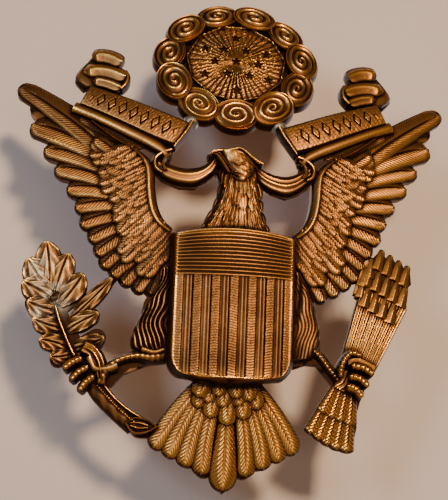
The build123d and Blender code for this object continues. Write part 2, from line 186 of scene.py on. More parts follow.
def ribbon(relief, spine, width, height, rows=60, cols=9, base=SUNK, side=1):
    """A strip along a smooth curve. width is half its width, or a function of s, 0 to 1 along it.
    height is a function of s and of t, -1 to 1 across it and positive on the left of the
    direction of travel, or the low and the high end of a round top."""
    if isinstance(height, tuple):
        height = rounded(*height)
    line = path(spine, rows) * G
    heading = np.gradient(line, axis=0)
    heading /= np.linalg.norm(heading, axis=1)[:, None]
    normal = np.stack([-heading[:, 1], heading[:, 0]], -1)
    s, t = grid(rows, cols)
    w = np.broadcast_to(width(s) if callable(width) else width, s.shape)
    x = side * (line[:, :1] + normal[:, :1] * t * w)
    z = line[:, 1:] + normal[:, 1:] * t * w
    relief.patch(x, z, np.broadcast_to(height(s, t), x.shape), base)


def ruled(relief, edge_a, edge_b, height, rows, cols, base=SUNK, side=1):
    """A patch between two curves. height is a function of s along it and t, 0 to 1, across."""
    a, b = path(edge_a, rows) * G, path(edge_b, rows) * G
    s, t = grid(rows, cols, 0)
    x = side * (a[:, :1] * (1 - t) + b[:, :1] * t)
    z = a[:, 1:] * (1 - t) + b[:, 1:] * t
    relief.patch(x, z, np.broadcast_to(height(s, t, x, z), x.shape), base)


# ---- feathers ----------------------------------------------------------------------------
VANE = np.array([-1, -0.96, -0.8, -0.55, -0.3, -0.12, -0.05, 0.05, 0.12, 0.35, 0.62, 0.85, 0.97, 1])


def feather(relief, tip, root, tip_radius, root_radius, low, tilt, crown, shaft, barb, depth, point,
            lean, side=1, bend=0.0, shift=0.25, edge=0.20):
    """One feather with a shaft and slanting barbs. The shaft lies off the middle by shift, and
    the feather's height climbs by tilt towards negative t, where it overlaps the next one."""
    tip, root = np.array(tip) * G, np.array(root) * G
    tip_radius, root_radius = tip_radius * G * 1.02, root_radius * G
    forward = (tip - root) / np.linalg.norm(tip - root)
    normal = np.array([-forward[1], forward[0]])
    length = np.linalg.norm(tip - root) + tip_radius
    cap = point * tip_radius

    def half(d):
        body = root_radius + (tip_radius - root_radius) * np.clip(d / (length - cap), 0, 1)
        left = np.clip((length - d) / cap, 0, 1)
        return body * np.sqrt(np.clip(1 - (1 - left) ** 2.2, 0.0016, 1))

    d_edge = np.linspace(0, length, 400)
    start = d_edge - half(d_edge) * lean
    start[-1] = length
    rows = np.arange(start[0], length, barb / 4)
    rows = np.append(rows, length - 0.01)
    d_out = np.interp(rows, start, d_edge)[:, None]
    width = half(d_out)
    t = VANE[None, :]
    reach = np.abs(t)
    d = rows[:, None] * (1 - reach) + d_out * reach
    offset = (t + shift * (1 - reach)) * width
    sway = bend * 4 * (d / length) * (1 - d / length)
    x = root[0] + forward[0] * d + normal[0] * (offset + sway)
    z = root[1] + forward[1] * d + normal[1] * (offset + sway)
    ridge = np.abs(((rows[:, None] / barb) % 1) - 0.5) * 2
    ridges = depth * (ridge - 0.5) * smooth(0.1, 0.25, reach) * smooth(1.01, 0.9, reach)
    rounding = edge * smooth(0.84, 1.0, reach) ** 1.5 + edge * smooth(length - 0.4, length, d)
    h = low + tilt * (1 - t) / 2 + crown * (1 - t * t) - rounding + ridges
    h = h + shaft * smooth(0.12, 0.04, reach) * smooth(length, length * 0.7, d)
    relief.patch(side * x, z, h)


FLIGHT_FEATHERS = [
    ((24.3, 18.75), (16.2, 12.5), 1.12, 1.40),
    ((22.2, 13.8), (15.2, 10.5), 1.35, 1.15),
    ((20.7, 10.9), (14.9, 8.9), 1.10, 0.95),
    ((19.3, 8.5), (14.2, 7.2), 1.10, 0.95),
    ((17.8, 6.2), (13.5, 5.7), 1.05, 0.90),
    ((16.9, 4.2), (13.0, 4.6), 0.95, 0.85),
    ((16.3, 2.3), (12.6, 3.4), 0.90, 0.85),
    ((15.3, 0.7), (12.2, 2.3), 0.90, 0.85),
    ((14.6, -0.9), (11.6, 1.2), 0.85, 0.85),
    ((13.9, -2.3), (11.0, 0.2), 0.85, 0.85),
    ((12.8, -3.3), (10.0, -0.9), 0.85, 0.85),
    ((11.6, -4.2), (9.2, -1.4), 0.85, 0.85),
    ((10.2, -5.0), (8.2, -2.0), 0.80, 0.80),
    ((8.8, -5.3), (7.3, -1.8), 0.80, 0.80),
]


# ---- small shapes ------------------------------------------------------------------------
def along(root, tip, s, t, width, bend=0.0):
    """Places points from root to tip: s is 0 to 1 along, and t is -1 to 1 across."""
    root, tip = np.array(root) * G, np.array(tip) * G
    offset = t * width + bend * 4 * s * (1 - s)
    forward = (tip - root) / np.linalg.norm(tip - root)
    x = root[0] + (tip - root)[0] * s - forward[1] * offset
    z = root[1] + (tip - root)[1] * s + forward[0] * offset
    return x, z


def tuft(relief, root, tip, half, low, crown, rise=0.10, point=1.6, strands=2, strand_depth=0.05,
         bend=0.0, rows=18, cols=13):
    """One small pointed feather or leaf lobe. low is a height, or a function of the place."""
    s, t = grid(rows, cols)
    tail = np.clip((s - 0.42) / 0.58, 0, 1)
    width = half * G * (0.6 + 0.4 * smooth(0, 0.42, s)) * np.clip(1 - tail ** point, 0.0004, 1) ** 0.75
    x, z = along(root, tip, s, t, width, bend)
    bed = low(x / G, z / G) if callable(low) else low
    h = bed + rise * s + crown * (1 - t * t) - 0.14 * smooth(0.75, 1, np.abs(t)) - 0.12 * smooth(0.85, 1, s)
    h = h + strand_depth * np.cos(math.pi * strands * 2 * t) * smooth(1, 0.7, np.abs(t))
    relief.patch(x, z, h)


def knob(relief, at, radii, low, high, turn=0.0, count=8, segments=20, shape=None):
    """A round or oval boss. shape, if given, adds height from r (0 to 1) and the angle."""
    r, angle = rings(0.04, count, segments)
    u, v = r * np.cos(angle) * radii[0] * G, r * np.sin(angle) * radii[1] * G
    x, z = turned(at, u, v, math.radians(turn))
    h = low + (high - low) * np.sqrt(np.clip(1 - 0.97 * r * r, 0, 1)) + 0 * angle
    if shape:
        h = h + shape(r, angle)
    relief.disc(x, z, h)


def spindle(half):
    """Half width of a line that is thin at both ends."""
    return lambda s: half * np.sin(math.pi * (0.12 + 0.8 * s))


def ringed(low, high, count, depth):
    """Cross section of a strap with rings across it, like a bird's toe."""
    body = rounded(low, high)
    return lambda s, t: body(s, t) + depth * (np.abs(np.sin(math.pi * count * s)) - 0.6)


# ---- wings -------------------------------------------------------------------------------
WING_RIM = [(16.6, 14.55), (15.2, 13.4), (13.4, 12.05), (11.8, 11.15), (10.6, 10.2),
            (9.85, 9.1), (9.6, 7.6), (9.5, 6.2), (9.25, 4.6), (8.85, 3.3), (8.15, 2.2), (7.1, 1.3)]
SCALE_INNER = [(12.6, 11.5), (11.2, 10.2), (10.5, 8.7), (10.2, 7.3), (10.0, 5.8), (9.7, 4.4), (9.1, 3.0),
               (8.2, 1.8), (7.4, 0.5), (7.1, -1.0)]
SCALE_OUTER = [(15.6, 10.6), (14.9, 8.8), (14.0, 6.8), (13.3, 5.2), (12.7, 3.8), (11.9, 2.0), (10.9, 0.2),
               (9.6, -1.6), (8.0, -2.9)]

SCALE_ROWS = [(0.64, 14), (0.46, 17), (0.30, 20), (0.15, 24), (0.02, 26)]  # share of the way out, count


def wing(side):
    relief = Relief()
    for k, (tip, root, tip_radius, root_radius) in enumerate(FLIGHT_FEATHERS):
        forward = np.array(tip) - np.array(root)
        root = np.array(root) - 1.6 * forward / np.linalg.norm(forward)
        feather(relief, tip, root, tip_radius * 1.12, root_radius * 1.42, low=1.46, tilt=0.42, side=side,
                bend=0.25 if k < 5 else 0.1, crown=0.10, point=1.3 if k == 0 else 0.85, shaft=-0.20,
                barb=0.42, depth=0.075, lean=1.2, edge=0.22, shift=-0.1 if k == 0 else 0.2)
    for row, (back, length, radius, low) in enumerate(((0.0, 3.2, 0.98, 1.74), (1.0, 2.2, 0.92, 1.86))):
        mix = 0.5 - 0.5 * row
        for whole in range(len(FLIGHT_FEATHERS) - 1):
            a, b = FLIGHT_FEATHERS[whole], FLIGHT_FEATHERS[whole + 1]
            root = np.array(a[1]) * (1 - mix) + np.array(b[1]) * mix
            tip = np.array(a[0]) * (1 - mix) + np.array(b[0]) * mix
            forward = (tip - root) / np.linalg.norm(tip - root)
            at = root - forward * back * smooth(15, 6, whole)
            shorter = length * (1 - 0.35 * smooth(3, 7, whole))
            feather(relief, at, at - forward * shorter, radius * (0.98 - 0.016 * whole), radius * 0.9,
                    low=low, tilt=0.30, side=side, crown=0.10, shaft=-0.12, barb=0.38, depth=0.06,
                    edge=0.18, point=1.0, lean=1.0)
    inner, outer = path(SCALE_INNER, 200), path(SCALE_OUTER, 200)
    place = np.random.default_rng(11)
    for row, (reach, count) in enumerate(SCALE_ROWS):
        for k in range(count):
            s = (k + 0.5 * (row % 2) + place.uniform(-0.22, 0.22)) / count
            i = int(np.clip(s, 0, 1) * 199)
            outward = outer[i] - inner[i]
            outward = outward / np.linalg.norm(outward)
            low_down = smooth(0.50, 0.8, s)
            length = (1.75 + 0.55 * low_down - 0.22 * row) * place.uniform(0.85, 1.15)
            root = inner[i] * (1 - reach) + outer[i] * reach + place.uniform(-0.14, 0.14, 2)
            tip = root + (outward + np.array([0.0, -0.10]) + place.uniform(-0.18, 0.18, 2)) * length
            radius = 0.80 + 0.12 * low_down - 0.08 * row
            feather(relief, tip, root - outward * 0.3, radius, 0.8 * radius, low=1.88 + 0.035 * row,
                    side=side, tilt=0.12, crown=0.18, shaft=-0.09, barb=0.36, depth=0.065, edge=0.18,
                    point=1.4, lean=0.9, shift=0.0)
    for tip, root, radius in (((17.4, 15.0), (11.6, 11.5), 0.85), ((14.9, 14.0), (11.0, 11.6), 0.75)):
        feather(relief, tip, root, radius, radius, low=1.62, side=side, tilt=0.15, crown=0.16, shaft=-0.12,
                barb=0.40, depth=0.08, shift=0.0, lean=1.1, point=1.1)
    ribbon(relief, WING_RIM, lambda s: 0.16 + 0.44 * smooth(0.30, 0.55, s) - 0.16 * smooth(0.85, 1, s),
           lambda s, t: np.interp(t, [-1, -0.88, 0.10, 0.45, 1], [1.70, 1.98, 2.42, 2.46, 2.20]) + 0 * s,
           rows=110, cols=15, base=0.02, side=side)
    return relief


# ---- tail --------------------------------------------------------------------------------
TAIL_TIPS = [((7.25, -21.7), 2.7), ((5.75, -22.55), 2.1), ((4.1, -23.4), 1.5), ((2.35, -24.2), 0.85)]
TAIL_RADIUS = 0.92
TAIL_COVERTS = [
    ((-3.0, -17.3), (-2.4, -15.4)), ((3.1, -17.2), (2.4, -15.4)), ((-1.7, -18.3), (-1.4, -16.0)),
    ((1.75, -18.3), (1.4, -16.0)), ((0.05, -19.0), (0.0, -16.6)), ((-1.9, -16.8), (-1.4, -15.2)),
    ((1.2, -17.0), (0.9, -15.4)), ((-0.4, -17.2), (-0.3, -15.6)), ((2.2, -16.4), (1.7, -15.0)),
    ((-2.9, -16.2), (-2.3, -14.9)), ((-0.9, -16.1), (-0.7, -14.8)), ((0.9, -16.2), (0.7, -14.8)),
]


def tail():
    relief = Relief()
    for k, (tip, root_x) in enumerate(TAIL_TIPS):
        for side in (-1, 1):
            feather(relief, tip, (root_x, -15.3), TAIL_RADIUS * 1.16, 0.80, low=1.50 + 0.05 * k, tilt=0.20,
                    bend=0.35, side=side, crown=0.16, shaft=-0.07, barb=0.46, depth=0.12, shift=-0.08,
                    lean=1.2, point=0.9)
    feather(relief, (-0.05, -25.3), (0.0, -15.3), 1.56, 0.42, low=1.76, tilt=0.0, crown=0.22, shaft=-0.07,
            barb=0.48, depth=0.13, shift=0.0, lean=1.2, point=1.25)
    for k, (tip, root) in enumerate(TAIL_COVERTS):
        feather(relief, tip, root, 1.02, 0.70, low=1.95 + 0.05 * k, tilt=0.03, crown=0.18, shaft=-0.08,
                barb=0.40, depth=0.09, shift=0.0, lean=1.1, point=1.1)
    return relief


# ---- legs and feet -----------------------------------------------------------------------
THIGH_INNER = [(6.4, -2.6), (6.4, -4.6), (6.5, -6.6), (6.5, -8.6), (6.5, -10.6), (6.5, -12.8)]
THIGH_LEFT = [(8.0, -3.3), (8.2, -5.2), (9.2, -7.0), (10.2, -9.0), (10.9, -11.6), (9.6, -12.4)]
THIGH_RIGHT = [(7.6, -3.0), (8.5, -4.6), (9.3, -6.6), (9.9, -8.8), (10.0, -10.8), (9.4, -12.2)]


def thighs():
    relief = Relief()
    for side, outer, lengthwise in ((-1, THIGH_LEFT, 1.0), (1, THIGH_RIGHT, 0.25)):

        def strands(s, t, x, z):
            wave = 6.5 * t + 0.8 * np.sin(6 * s + 3 * t)
            along_it = np.abs(np.sin(math.pi * wave + 2.3 * s + 1.2 * np.sin(17 * s)))
            across_it = np.abs(np.sin(2.1 * (z - 1.1 * x * side * (1 - s)) + 0.7 * np.sin(5 * t + 3 * s)))
            body = 1.45 + 1.0 * np.sqrt(np.clip(1 - (1.2 * t - 0.2) ** 2 * 0.93, 0, 1))
            return body + 0.34 * (lengthwise * along_it + (1 - lengthwise) * across_it)

        ruled(relief, THIGH_INNER, outer, strands, rows=220, cols=60, side=side)
    return relief


LEFT_TOES = [  # claw, knuckle
    ((-17.9, -14.6), (-16.0, -13.4)), ((-17.1, -15.8), (-15.3, -14.3)), ((-16.1, -16.9), (-14.6, -15.3)),
]
RIGHT_TOES = [
    ((16.15, -13.75), (13.6, -12.9)), ((15.6, -15.05), (13.4, -14.05)), ((14.95, -16.25), (13.2, -15.15)),
]


def toe_width(half):
    """Half width of a toe, blunt at both ends."""
    return lambda s: half * np.sqrt(np.clip(1 - (1.9 * s - 0.95) ** 6, 0.02, 1))


def feet():
    relief = Relief()
    left_shank = [(-7.0, -12.75), (-8.6, -13.0), (-10.0, -12.9), (-11.5, -13.2), (-12.9, -14.0),
                  (-13.6, -14.9), (-14.0, -16.0)]
    ribbon(relief, left_shank, lambda s: 0.62 + 0.12 * np.cos(6 * s), ringed(1.5, 2.7, 15, 0.10),
           rows=130, cols=13)
    ribbon(relief, [(-12.2, -14.0), (-13.2, -14.4), (-14.6, -14.4), (-15.3, -13.2)], 0.62, (1.8, 2.8),
           rows=40)
    ribbon(relief, [(-7.2, -12.2), (-8.3, -12.5), (-9.6, -12.2)], 0.42, (2.0, 2.9), rows=40)
    ribbon(relief, [(-15.9, -12.1), (-15.0, -12.55), (-14.3, -13.5), (-13.9, -14.8), (-13.8, -16.0)],
           lambda s: 0.95 - 0.35 * smooth(0.5, 1, s),
           lambda s, t: rounded(1.6, 2.75)(s, t) + 0.10 * np.cos(3.5 * math.pi * t), rows=70, cols=33)
    right_shank = [(7.6, -11.0), (8.6, -11.2), (9.5, -11.5), (10.3, -12.2), (11.2, -13.3), (12.3, -14.5)]
    ribbon(relief, right_shank, 0.42, ringed(1.4, 2.35, 14, 0.12), rows=120, cols=11)
    for toes, shift, half, height in ((LEFT_TOES, (-0.15, 0.1), 0.58, ringed(2.0, 3.25, 5, 0.09)),
                                      (RIGHT_TOES, (0.1, 0.25), 0.60, ringed(2.1, 3.3, 5, 0.08))):
        for claw, knuckle in toes:
            middle = [(a + b) / 2 + c for a, b, c in zip(claw, knuckle, shift)]
            ribbon(relief, [knuckle, middle, claw], toe_width(half), height, rows=60, cols=13)
    ribbon(relief, [(14.6, -11.75), (13.6, -11.5), (12.95, -12.1), (12.5, -13.0), (12.4, -14.2)],
           toe_width(0.52), ringed(2.0, 3.2, 9, 0.12), rows=90, cols=13)
    ribbon(relief, [(13.2, -12.55), (14.4, -12.3), (15.7, -12.75), (16.3, -13.0)], 0.36,
           lambda s, t: 2.9 - 0.4 * smooth(0.7, 1, np.abs(t)) ** 1.5 + 0 * s, rows=50)
    return relief


# ---- head and neck -----------------------------------------------------------------------
NECK_LEFT = [(-3.7, 0.9), (-3.0, 2.4), (-2.3, 3.7), (-1.75, 5.2), (-1.5, 6.8), (-1.6, 8.2), (-1.5, 9.2)]
NECK_RIGHT = [(3.9, 0.9), (3.3, 2.9), (3.0, 4.4), (2.75, 5.9), (2.6, 7.3), (2.65, 8.6), (2.4, 9.6)]


def neck_height(x, z):
    """Height of the neck's round body at a place on the grid."""
    left = np.interp(z, [p[1] for p in NECK_LEFT], [p[0] for p in NECK_LEFT])
    right = np.interp(z, [p[1] for p in NECK_RIGHT], [p[0] for p in NECK_RIGHT])
    t = np.clip((x - left) / (right - left) * 2 - 1, -1, 1)
    return 1.35 + (1.75 + 0.1 * smooth(3, 8, z)) * np.sqrt(np.clip(1 - 0.80 * (t - 0.05) ** 2, 0.05, 1))


def neck():
    relief = Relief()
    ruled(relief, NECK_LEFT, NECK_RIGHT,
          lambda s, t, x, z: neck_height(x / G, z / G) + 0.05 * np.sin(13 * x + 2.5 * np.sin(z)),
          rows=60, cols=34)
    place = np.random.default_rng(21)
    left, right = path(NECK_LEFT, 100), path(NECK_RIGHT, 100)
    for row in range(9):
        start = 82 - row * 8.7
        count = 5 + row // 3
        for k in range(count):
            t = (k + 0.5 * (row % 2) + 0.25 + place.uniform(-0.1, 0.1)) / count
            if 0.45 < t < 0.72 and 1 < row < 6:
                continue
            end = max(start - 24 - 8 * (t < 0.4) + place.uniform(-2, 2), 0)
            flare = 0.07 * (t - 0.5) * (1.5 + (t < 0.4))
            root, tip = (left[int(at)] * (1 - across) + right[int(at)] * across
                         for at, across in ((start, t), (end, t + flare)))
            tuft(relief, root, tip, 0.62 - 0.14 * (t < 0.4), neck_height, crown=0.12, strand_depth=0.035,
                 cols=15, point=1.5, bend=0.12 * (0.5 - t))
    for k, (z, half) in enumerate(((7.3, 0.85), (5.4, 0.80), (3.4, 0.75))):
        at = (0.85 + 0.03 * k, z)
        tuft(relief, (at[0] - 0.1, z + 0.9), (at[0] + 0.05, z - 2.0), half, neck_height,
             crown=0.10, rise=0.04, strand_depth=0.03, point=1.8)
    return relief


BEAK_EDGE = [(-3.0, 10.3), (-2.6, 10.6), (-2.1, 10.48), (-1.7, 10.0), (-1.3, 9.38), (-0.95, 8.8),
             (-0.68, 8.35)]
CHEEK_LINES = [
    [(-0.9, 9.35), (-0.6, 8.72), (-0.23, 8.33), (0.32, 8.11), (0.83, 8.0)],
    [(-0.5, 8.26), (-0.05, 7.95), (0.42, 7.77), (0.93, 7.7)],
    [(-0.34, 7.75), (0.14, 7.36), (0.69, 7.22), (1.16, 7.36), (1.4, 7.8)],
    [(1.05, 8.3), (1.3, 8.6), (1.6, 8.72), (1.75, 8.45), (1.5, 8.2)],
]
THROAT_STRANDS = [  # root, tip, height
    ((-1.5, 9.4), (-1.75, 7.4), 1.9), ((-1.2, 9.0), (-1.5, 6.9), 2.25), ((-0.85, 8.5), (-1.2, 6.4), 2.6),
]


def head():
    relief = Relief()
    knob(relief, (0.45, 9.75), (2.15, 1.45), 1.8, 3.22, turn=-28, count=16, segments=48)
    ruled(relief, [(-1.75, 10.95), (-1.45, 10.1), (-0.95, 9.1), (-0.55, 8.3), (-0.05, 7.55), (0.45, 7.15)],
          [(1.0, 11.0), (1.8, 10.2), (2.15, 9.4), (2.05, 8.5), (1.6, 7.7), (0.95, 7.15)],
          lambda s, t, x, z: 2.66 + 0.82 * np.sqrt(np.clip(1 - (1.9 * t - 1.0) ** 2, 0.05, 1))
          - 0.25 * smooth(0.90, 1, s) + 0.025 * bumps(x, z, 0.8, 6), rows=70, cols=40)
    for line in CHEEK_LINES:
        ribbon(relief, line, spindle(0.10), (3.0, 3.60), rows=40, cols=7)
    for root, tip, low in THROAT_STRANDS:
        tuft(relief, root, tip, 0.38, low, crown=0.16, strand_depth=0.04)
    # beak with its hook, the nostril, and the double edge that runs back to the throat
    ribbon(relief, [(-0.3, 10.75), (-1.2, 11.0), (-2.0, 11.0), (-2.6, 10.8), (-2.9, 10.5), (-2.98, 10.2)],
           lambda s: 0.52 * (1 - s) ** 0.7 + 0.07, (2.0, 3.15), rows=50, cols=15)
    knob(relief, (-1.35, 11.02), (0.36, 0.24), 2.6, 3.28, turn=10)
    ribbon(relief, BEAK_EDGE, lambda s: 0.40 + 0.15 * smooth(0, 0.5, s), (1.9, 2.98), rows=50, cols=13)
    for offset in (-0.14, 0.18):
        ribbon(relief, [(x + offset, z + 0.6 * offset) for x, z in BEAK_EDGE], 0.10, (2.7, 3.24),
               rows=50, cols=7)
    # crown, and the thick crest that runs back to the nape with a thin line under it
    ribbon(relief, [(-1.0, 11.0), (-0.3, 11.2), (0.35, 11.35), (0.95, 11.2)], 0.34, (2.4, 3.3), rows=40)
    ribbon(relief, [(-0.55, 10.45), (-0.1, 10.72), (0.45, 10.75), (0.95, 10.5)],
           spindle(0.34), (2.6, 3.46), rows=40, cols=13)
    ribbon(relief, [(0.35, 11.35), (1.1, 10.95), (1.8, 10.3), (2.5, 9.8), (3.1, 9.5)],
           lambda s: 0.30 + 0.08 * np.sin(math.pi * s), (2.3, 3.45), rows=60, cols=13)
    ribbon(relief, [(0.60, 10.10), (1.0, 9.86), (1.44, 9.56), (1.95, 9.22), (2.36, 8.98)], 0.10,
           (2.9, 3.50), rows=50, cols=7)
    # the eye in its socket, and the two lids under it
    knob(relief, (0.18, 9.74), (0.54, 0.50), 3.0, 3.50, count=16, segments=36,
         shape=lambda r, a: -0.62 * smooth(0.34, 0.0, np.abs(r - 0.66)))
    knob(relief, (0.18, 9.76), (0.20, 0.18), 3.3, 3.62)
    ribbon(relief, [(-0.40, 9.50), (-0.02, 9.18), (0.42, 9.10), (0.79, 9.20), (1.13, 9.42)],
           spindle(0.11), (3.0, 3.70), rows=44, cols=9)
    ribbon(relief, [(0.55, 9.40), (0.80, 9.50), (1.06, 9.68)], 0.08, (3.0, 3.60), rows=24, cols=7)
    for k in range(3):
        tuft(relief, (1.55 + 0.2 * k, 9.9 - 0.5 * k), (1.75 + 0.2 * k, 8.4 - 0.5 * k), 0.42, 2.8 - 0.06 * k,
             crown=0.18, rise=0.15, point=2.0)
    return relief


# ---- the scroll --------------------------------------------------------------------------
BAND_TOP = [(5.2, 14.55), (8.0, 15.7), (11.3, 17.1), (14.4, 18.3), (17.0, 19.3)]
BAND_LOW = [(7.0, 11.5), (9.7, 12.55), (13.0, 14.15), (15.9, 15.55), (18.2, 16.6)]


def band_height(s, t, x, z):
    """The gently curved face of the band, with a generic row of diamonds on it."""
    edge = np.minimum(np.minimum(t, 1 - t) * 2.7, np.minimum(s, 1 - s) * 12.2)
    h = 2.50 + 0.16 * np.sin(math.pi * t) - 0.30 * smooth(0.22, 0, edge) + 0.10 * np.sin(math.pi * s)
    cell = (s * 9.0) % 1 - 0.5
    diamond = np.abs(cell) * 2.1 + np.abs(t - 0.5) * 2.5
    inside = smooth(0.06, 0.10, s) * smooth(0.94, 0.90, s)
    outline = smooth(0.12, 0.04, np.abs(diamond - 0.68))
    h = h + inside * (0.09 * smooth(0.60, 0.50, diamond) - 0.12 * outline)
    return h + 0.012 * bumps(x, z, 0.5, 4)


def scroll(side, ribbon_top, ribbon_low, flutes):
    def fluted(s, t, x, z):
        body = 1.25 + 1.15 * np.sqrt(np.clip(1 - (2 * t - 0.85) ** 2 / 1.33, 0, 1))
        return body + 0.055 * np.cos(2 * math.pi * flutes * t ** 0.8) * smooth(1.0, 0.7, t)

    relief = Relief()
    ruled(relief, BAND_TOP, BAND_LOW, band_height, rows=300, cols=52, base=1.0, side=side)
    ribbon(relief, [(5.05, 14.75), (5.6, 13.6), (6.3, 12.5), (7.1, 11.3)], lambda s: 0.42 - 0.14 * s,
           (1.7, 2.85), rows=50, cols=13, base=0.9, side=side)
    ribbon(relief, [(18.75, 16.4), (15.9, 15.1), (12.7, 13.5), (9.7, 11.95), (8.2, 10.85), (7.7, 9.9)],
           lambda s: 0.74 - 0.22 * smooth(0.8, 1, s), (1.9, 2.5), rows=90, cols=15, base=0.9, side=side)
    ribbon(relief, [(7.3, 11.1), (8.3, 10.7), (9.1, 9.9), (9.0, 8.8), (8.3, 8.2)],
           lambda s: 0.46 - 0.1 * s, (1.3, 2.5), rows=50, cols=13, base=0.9, side=side)
    ribbon(relief, [(7.4, 10.5), (8.0, 9.9), (8.2, 9.1), (7.9, 8.4)], 0.26, (1.5, 2.75), rows=40,
           base=0.9, side=side)
    # the rolled end: a rounded panel, two rolls that lie across it and the tongue under them
    ruled(relief, [(15.7, 24.4), (17.4, 22.9), (18.75, 21.1), (18.75, 20.0), (17.8, 19.1)],
          [(14.4, 23.6), (14.1, 22.5), (13.9, 21.4), (13.7, 20.2), (14.0, 18.9)],
          lambda s, t, x, z: 2.05 + 0.35 * np.sin(math.pi * t ** 0.6) - 0.3 * smooth(0.07, 0, t)
          - 0.3 * smooth(0.08, 0, s), rows=60, cols=30, base=1.0, side=side)
    for spine, half, high in (([(16.9, 19.8), (15.9, 19.75), (14.7, 19.4), (13.5, 18.8)], 0.86, 2.86),
                              ([(17.9, 21.0), (16.3, 21.25), (14.6, 20.95), (13.0, 20.2)], 1.12, 3.00),
                              ([(17.1, 23.1), (15.9, 23.25), (14.7, 22.95), (13.5, 22.2)], 1.16, 3.10)):
        ribbon(relief, spine, lambda s: half * np.clip(1 - (1.94 * s - 0.97) ** 6, 0.03, 1) ** 0.5,
               lambda s, t: rounded(2.2, high)(s, t) + 0.08 * np.cos(5 * t + 1) * smooth(0.0, 0.3, s)
               - 0.35 * smooth(0.16, 0, s), rows=70, cols=25, base=1.0, side=side)
    ribbon(relief, [(13.15, 21.1), (12.8, 20.4), (12.9, 19.5), (13.5, 18.7)],
           lambda s: 0.42 - 0.06 * s, (2.0, 2.85), rows=40, cols=13, base=1.0, side=side)
    ruled(relief, ribbon_top, ribbon_low, fluted, rows=70, cols=60, base=1.0)
    return relief


RIBBON_LEFT_TOP = [(-2.5, 10.75), (-2.95, 9.85), (-4.0, 9.1), (-5.7, 8.85), (-7.4, 9.25), (-8.7, 10.0)]
RIBBON_LEFT_LOW = [(-2.0, 9.1), (-2.75, 7.95), (-4.4, 6.8), (-6.3, 6.75), (-7.9, 7.3), (-8.9, 8.1)]
RIBBON_RIGHT_TOP = [(2.5, 9.75), (3.5, 9.05), (4.8, 8.6), (6.2, 8.6), (7.4, 9.15), (8.6, 10.1)]
RIBBON_RIGHT_LOW = [(2.5, 7.8), (3.2, 7.1), (4.3, 6.5), (5.9, 6.15), (7.3, 6.7), (8.8, 8.0)]


# ---- the clouds --------------------------------------------------------------------------
CLOUD_CENTRE_Y, CLOUD_CENTRE_Z, CLOUD_TILT, CLOUD_DOME = -3.4, 23.1 * G, math.radians(14.5), 38.0
PUFFS = 11
STAR_RADIUS = 0.62
STARS = [(0, 3.9), (-3.8, 2.0), (-1.5, 1.9), (1.2, 1.9), (3.7, 1.7), (-2.6, 0), (0, 0.1), (2.7, -0.1),
         (-3.8, -1.9), (-1.1, -1.8), (1.6, -1.9), (3.9, -2.2), (0.1, -4.1)]


def on_clouds(u, v, h):
    """Places points on the cloud ring's own dome, which leans back."""
    u, v, h = np.broadcast_arrays(u, v, h)
    y = CLOUD_DOME - np.sqrt(CLOUD_DOME ** 2 - u * u - v * v) - h
    c, s = math.cos(CLOUD_TILT), math.sin(CLOUD_TILT)
    return np.stack([u, CLOUD_CENTRE_Y + y * c + v * s, CLOUD_CENTRE_Z + v * c - y * s], -1)


def star_depth(u, v, centre):
    """1 inside a five-pointed star, 0 outside."""
    du, dv = u - centre[0], v - centre[1]
    angle = np.abs((np.arctan2(du, dv) / (2 * math.pi) * 5 + 0.5) % 1 - 0.5) * 2
    edge = STAR_RADIUS * (1 - 0.56 * angle)
    return smooth(0.05, -0.09, np.hypot(du, dv) - edge)


def clouds():
    relief = Relief(on_clouds)
    r, angle = rings(0.012, 100, 352)
    corner = ((angle + math.pi / 2) / (2 * math.pi) * PUFFS) % 1 - 0.5
    border = 6.05 * G * math.cos(math.pi / PUFFS) / np.cos(corner * 2 * math.pi / PUFFS)
    border = border * (1 - 0.045 * np.abs(np.sin(angle)))
    u, v = r * border * np.cos(angle), r * border * np.sin(angle)
    away = np.hypot(u, v)
    wobble = 0.12 * np.sin(5 * angle + 1) + 0.08 * np.sin(11 * angle)
    ray = np.abs(((angle / (2 * math.pi) * 46 + wobble) % 1) - 0.5) * 2
    deep = 0.16 * smooth(0.3, 1.6, away) * (0.65 + 0.35 * np.sin(3 * angle + 0.5))
    h = 1.02 + deep * (smooth(0.05, 0.5, ray) - 0.6) + 0.035 * bumps(u, v, 0.36, 8) * smooth(0.8, 2, away)
    h = h + 0.30 * smooth(border - 0.34, border - 0.12, away) - 0.15 * smooth(border - 0.08, border, away)
    for star in STARS:
        inside = star_depth(u, v, star)
        h = h + inside * (0.74 - h)
    relief.disc(u, v, np.broadcast_to(h, u.shape), base=0.45)
    for k in range(PUFFS):
        turn = 2 * math.pi * k / PUFFS - math.pi / 2
        r, around = rings(0.02, 34, 72)
        long, wide = (2.86, 2.08) if k % 2 else (2.78, 2.02)
        a, b = r * np.cos(around) * long * G, r * np.sin(around) * wide * G
        at = (8.02 * math.cos(turn), 7.48 * math.sin(turn))
        u, v = turned(at, a, b, turn + math.pi / 2)
        way = 1 if k % 3 else -1
        swirl = np.cos(2 * math.pi * (r * 3.0 - way * around / (2 * math.pi) - 0.25))
        raised = 0.16 * (k % 2)
        h = 1.40 + raised + 0.26 * np.sqrt(1 - 0.95 * r * r) + 0.12 * swirl * smooth(0.02, 0.15, r)
        h = h - 0.16 * smooth(0.10, 0.03, r)
        rim = smooth(0.80, 0.84, r)
        rim_height = 1.46 + raised + 0.14 * smooth(0.05, 0.0, np.abs(r - 0.90)) - 0.40 * smooth(0.94, 1, r)
        h = h * (1 - rim) + rim * rim_height
        relief.disc(u, v, h, base=0.45)
    return relief


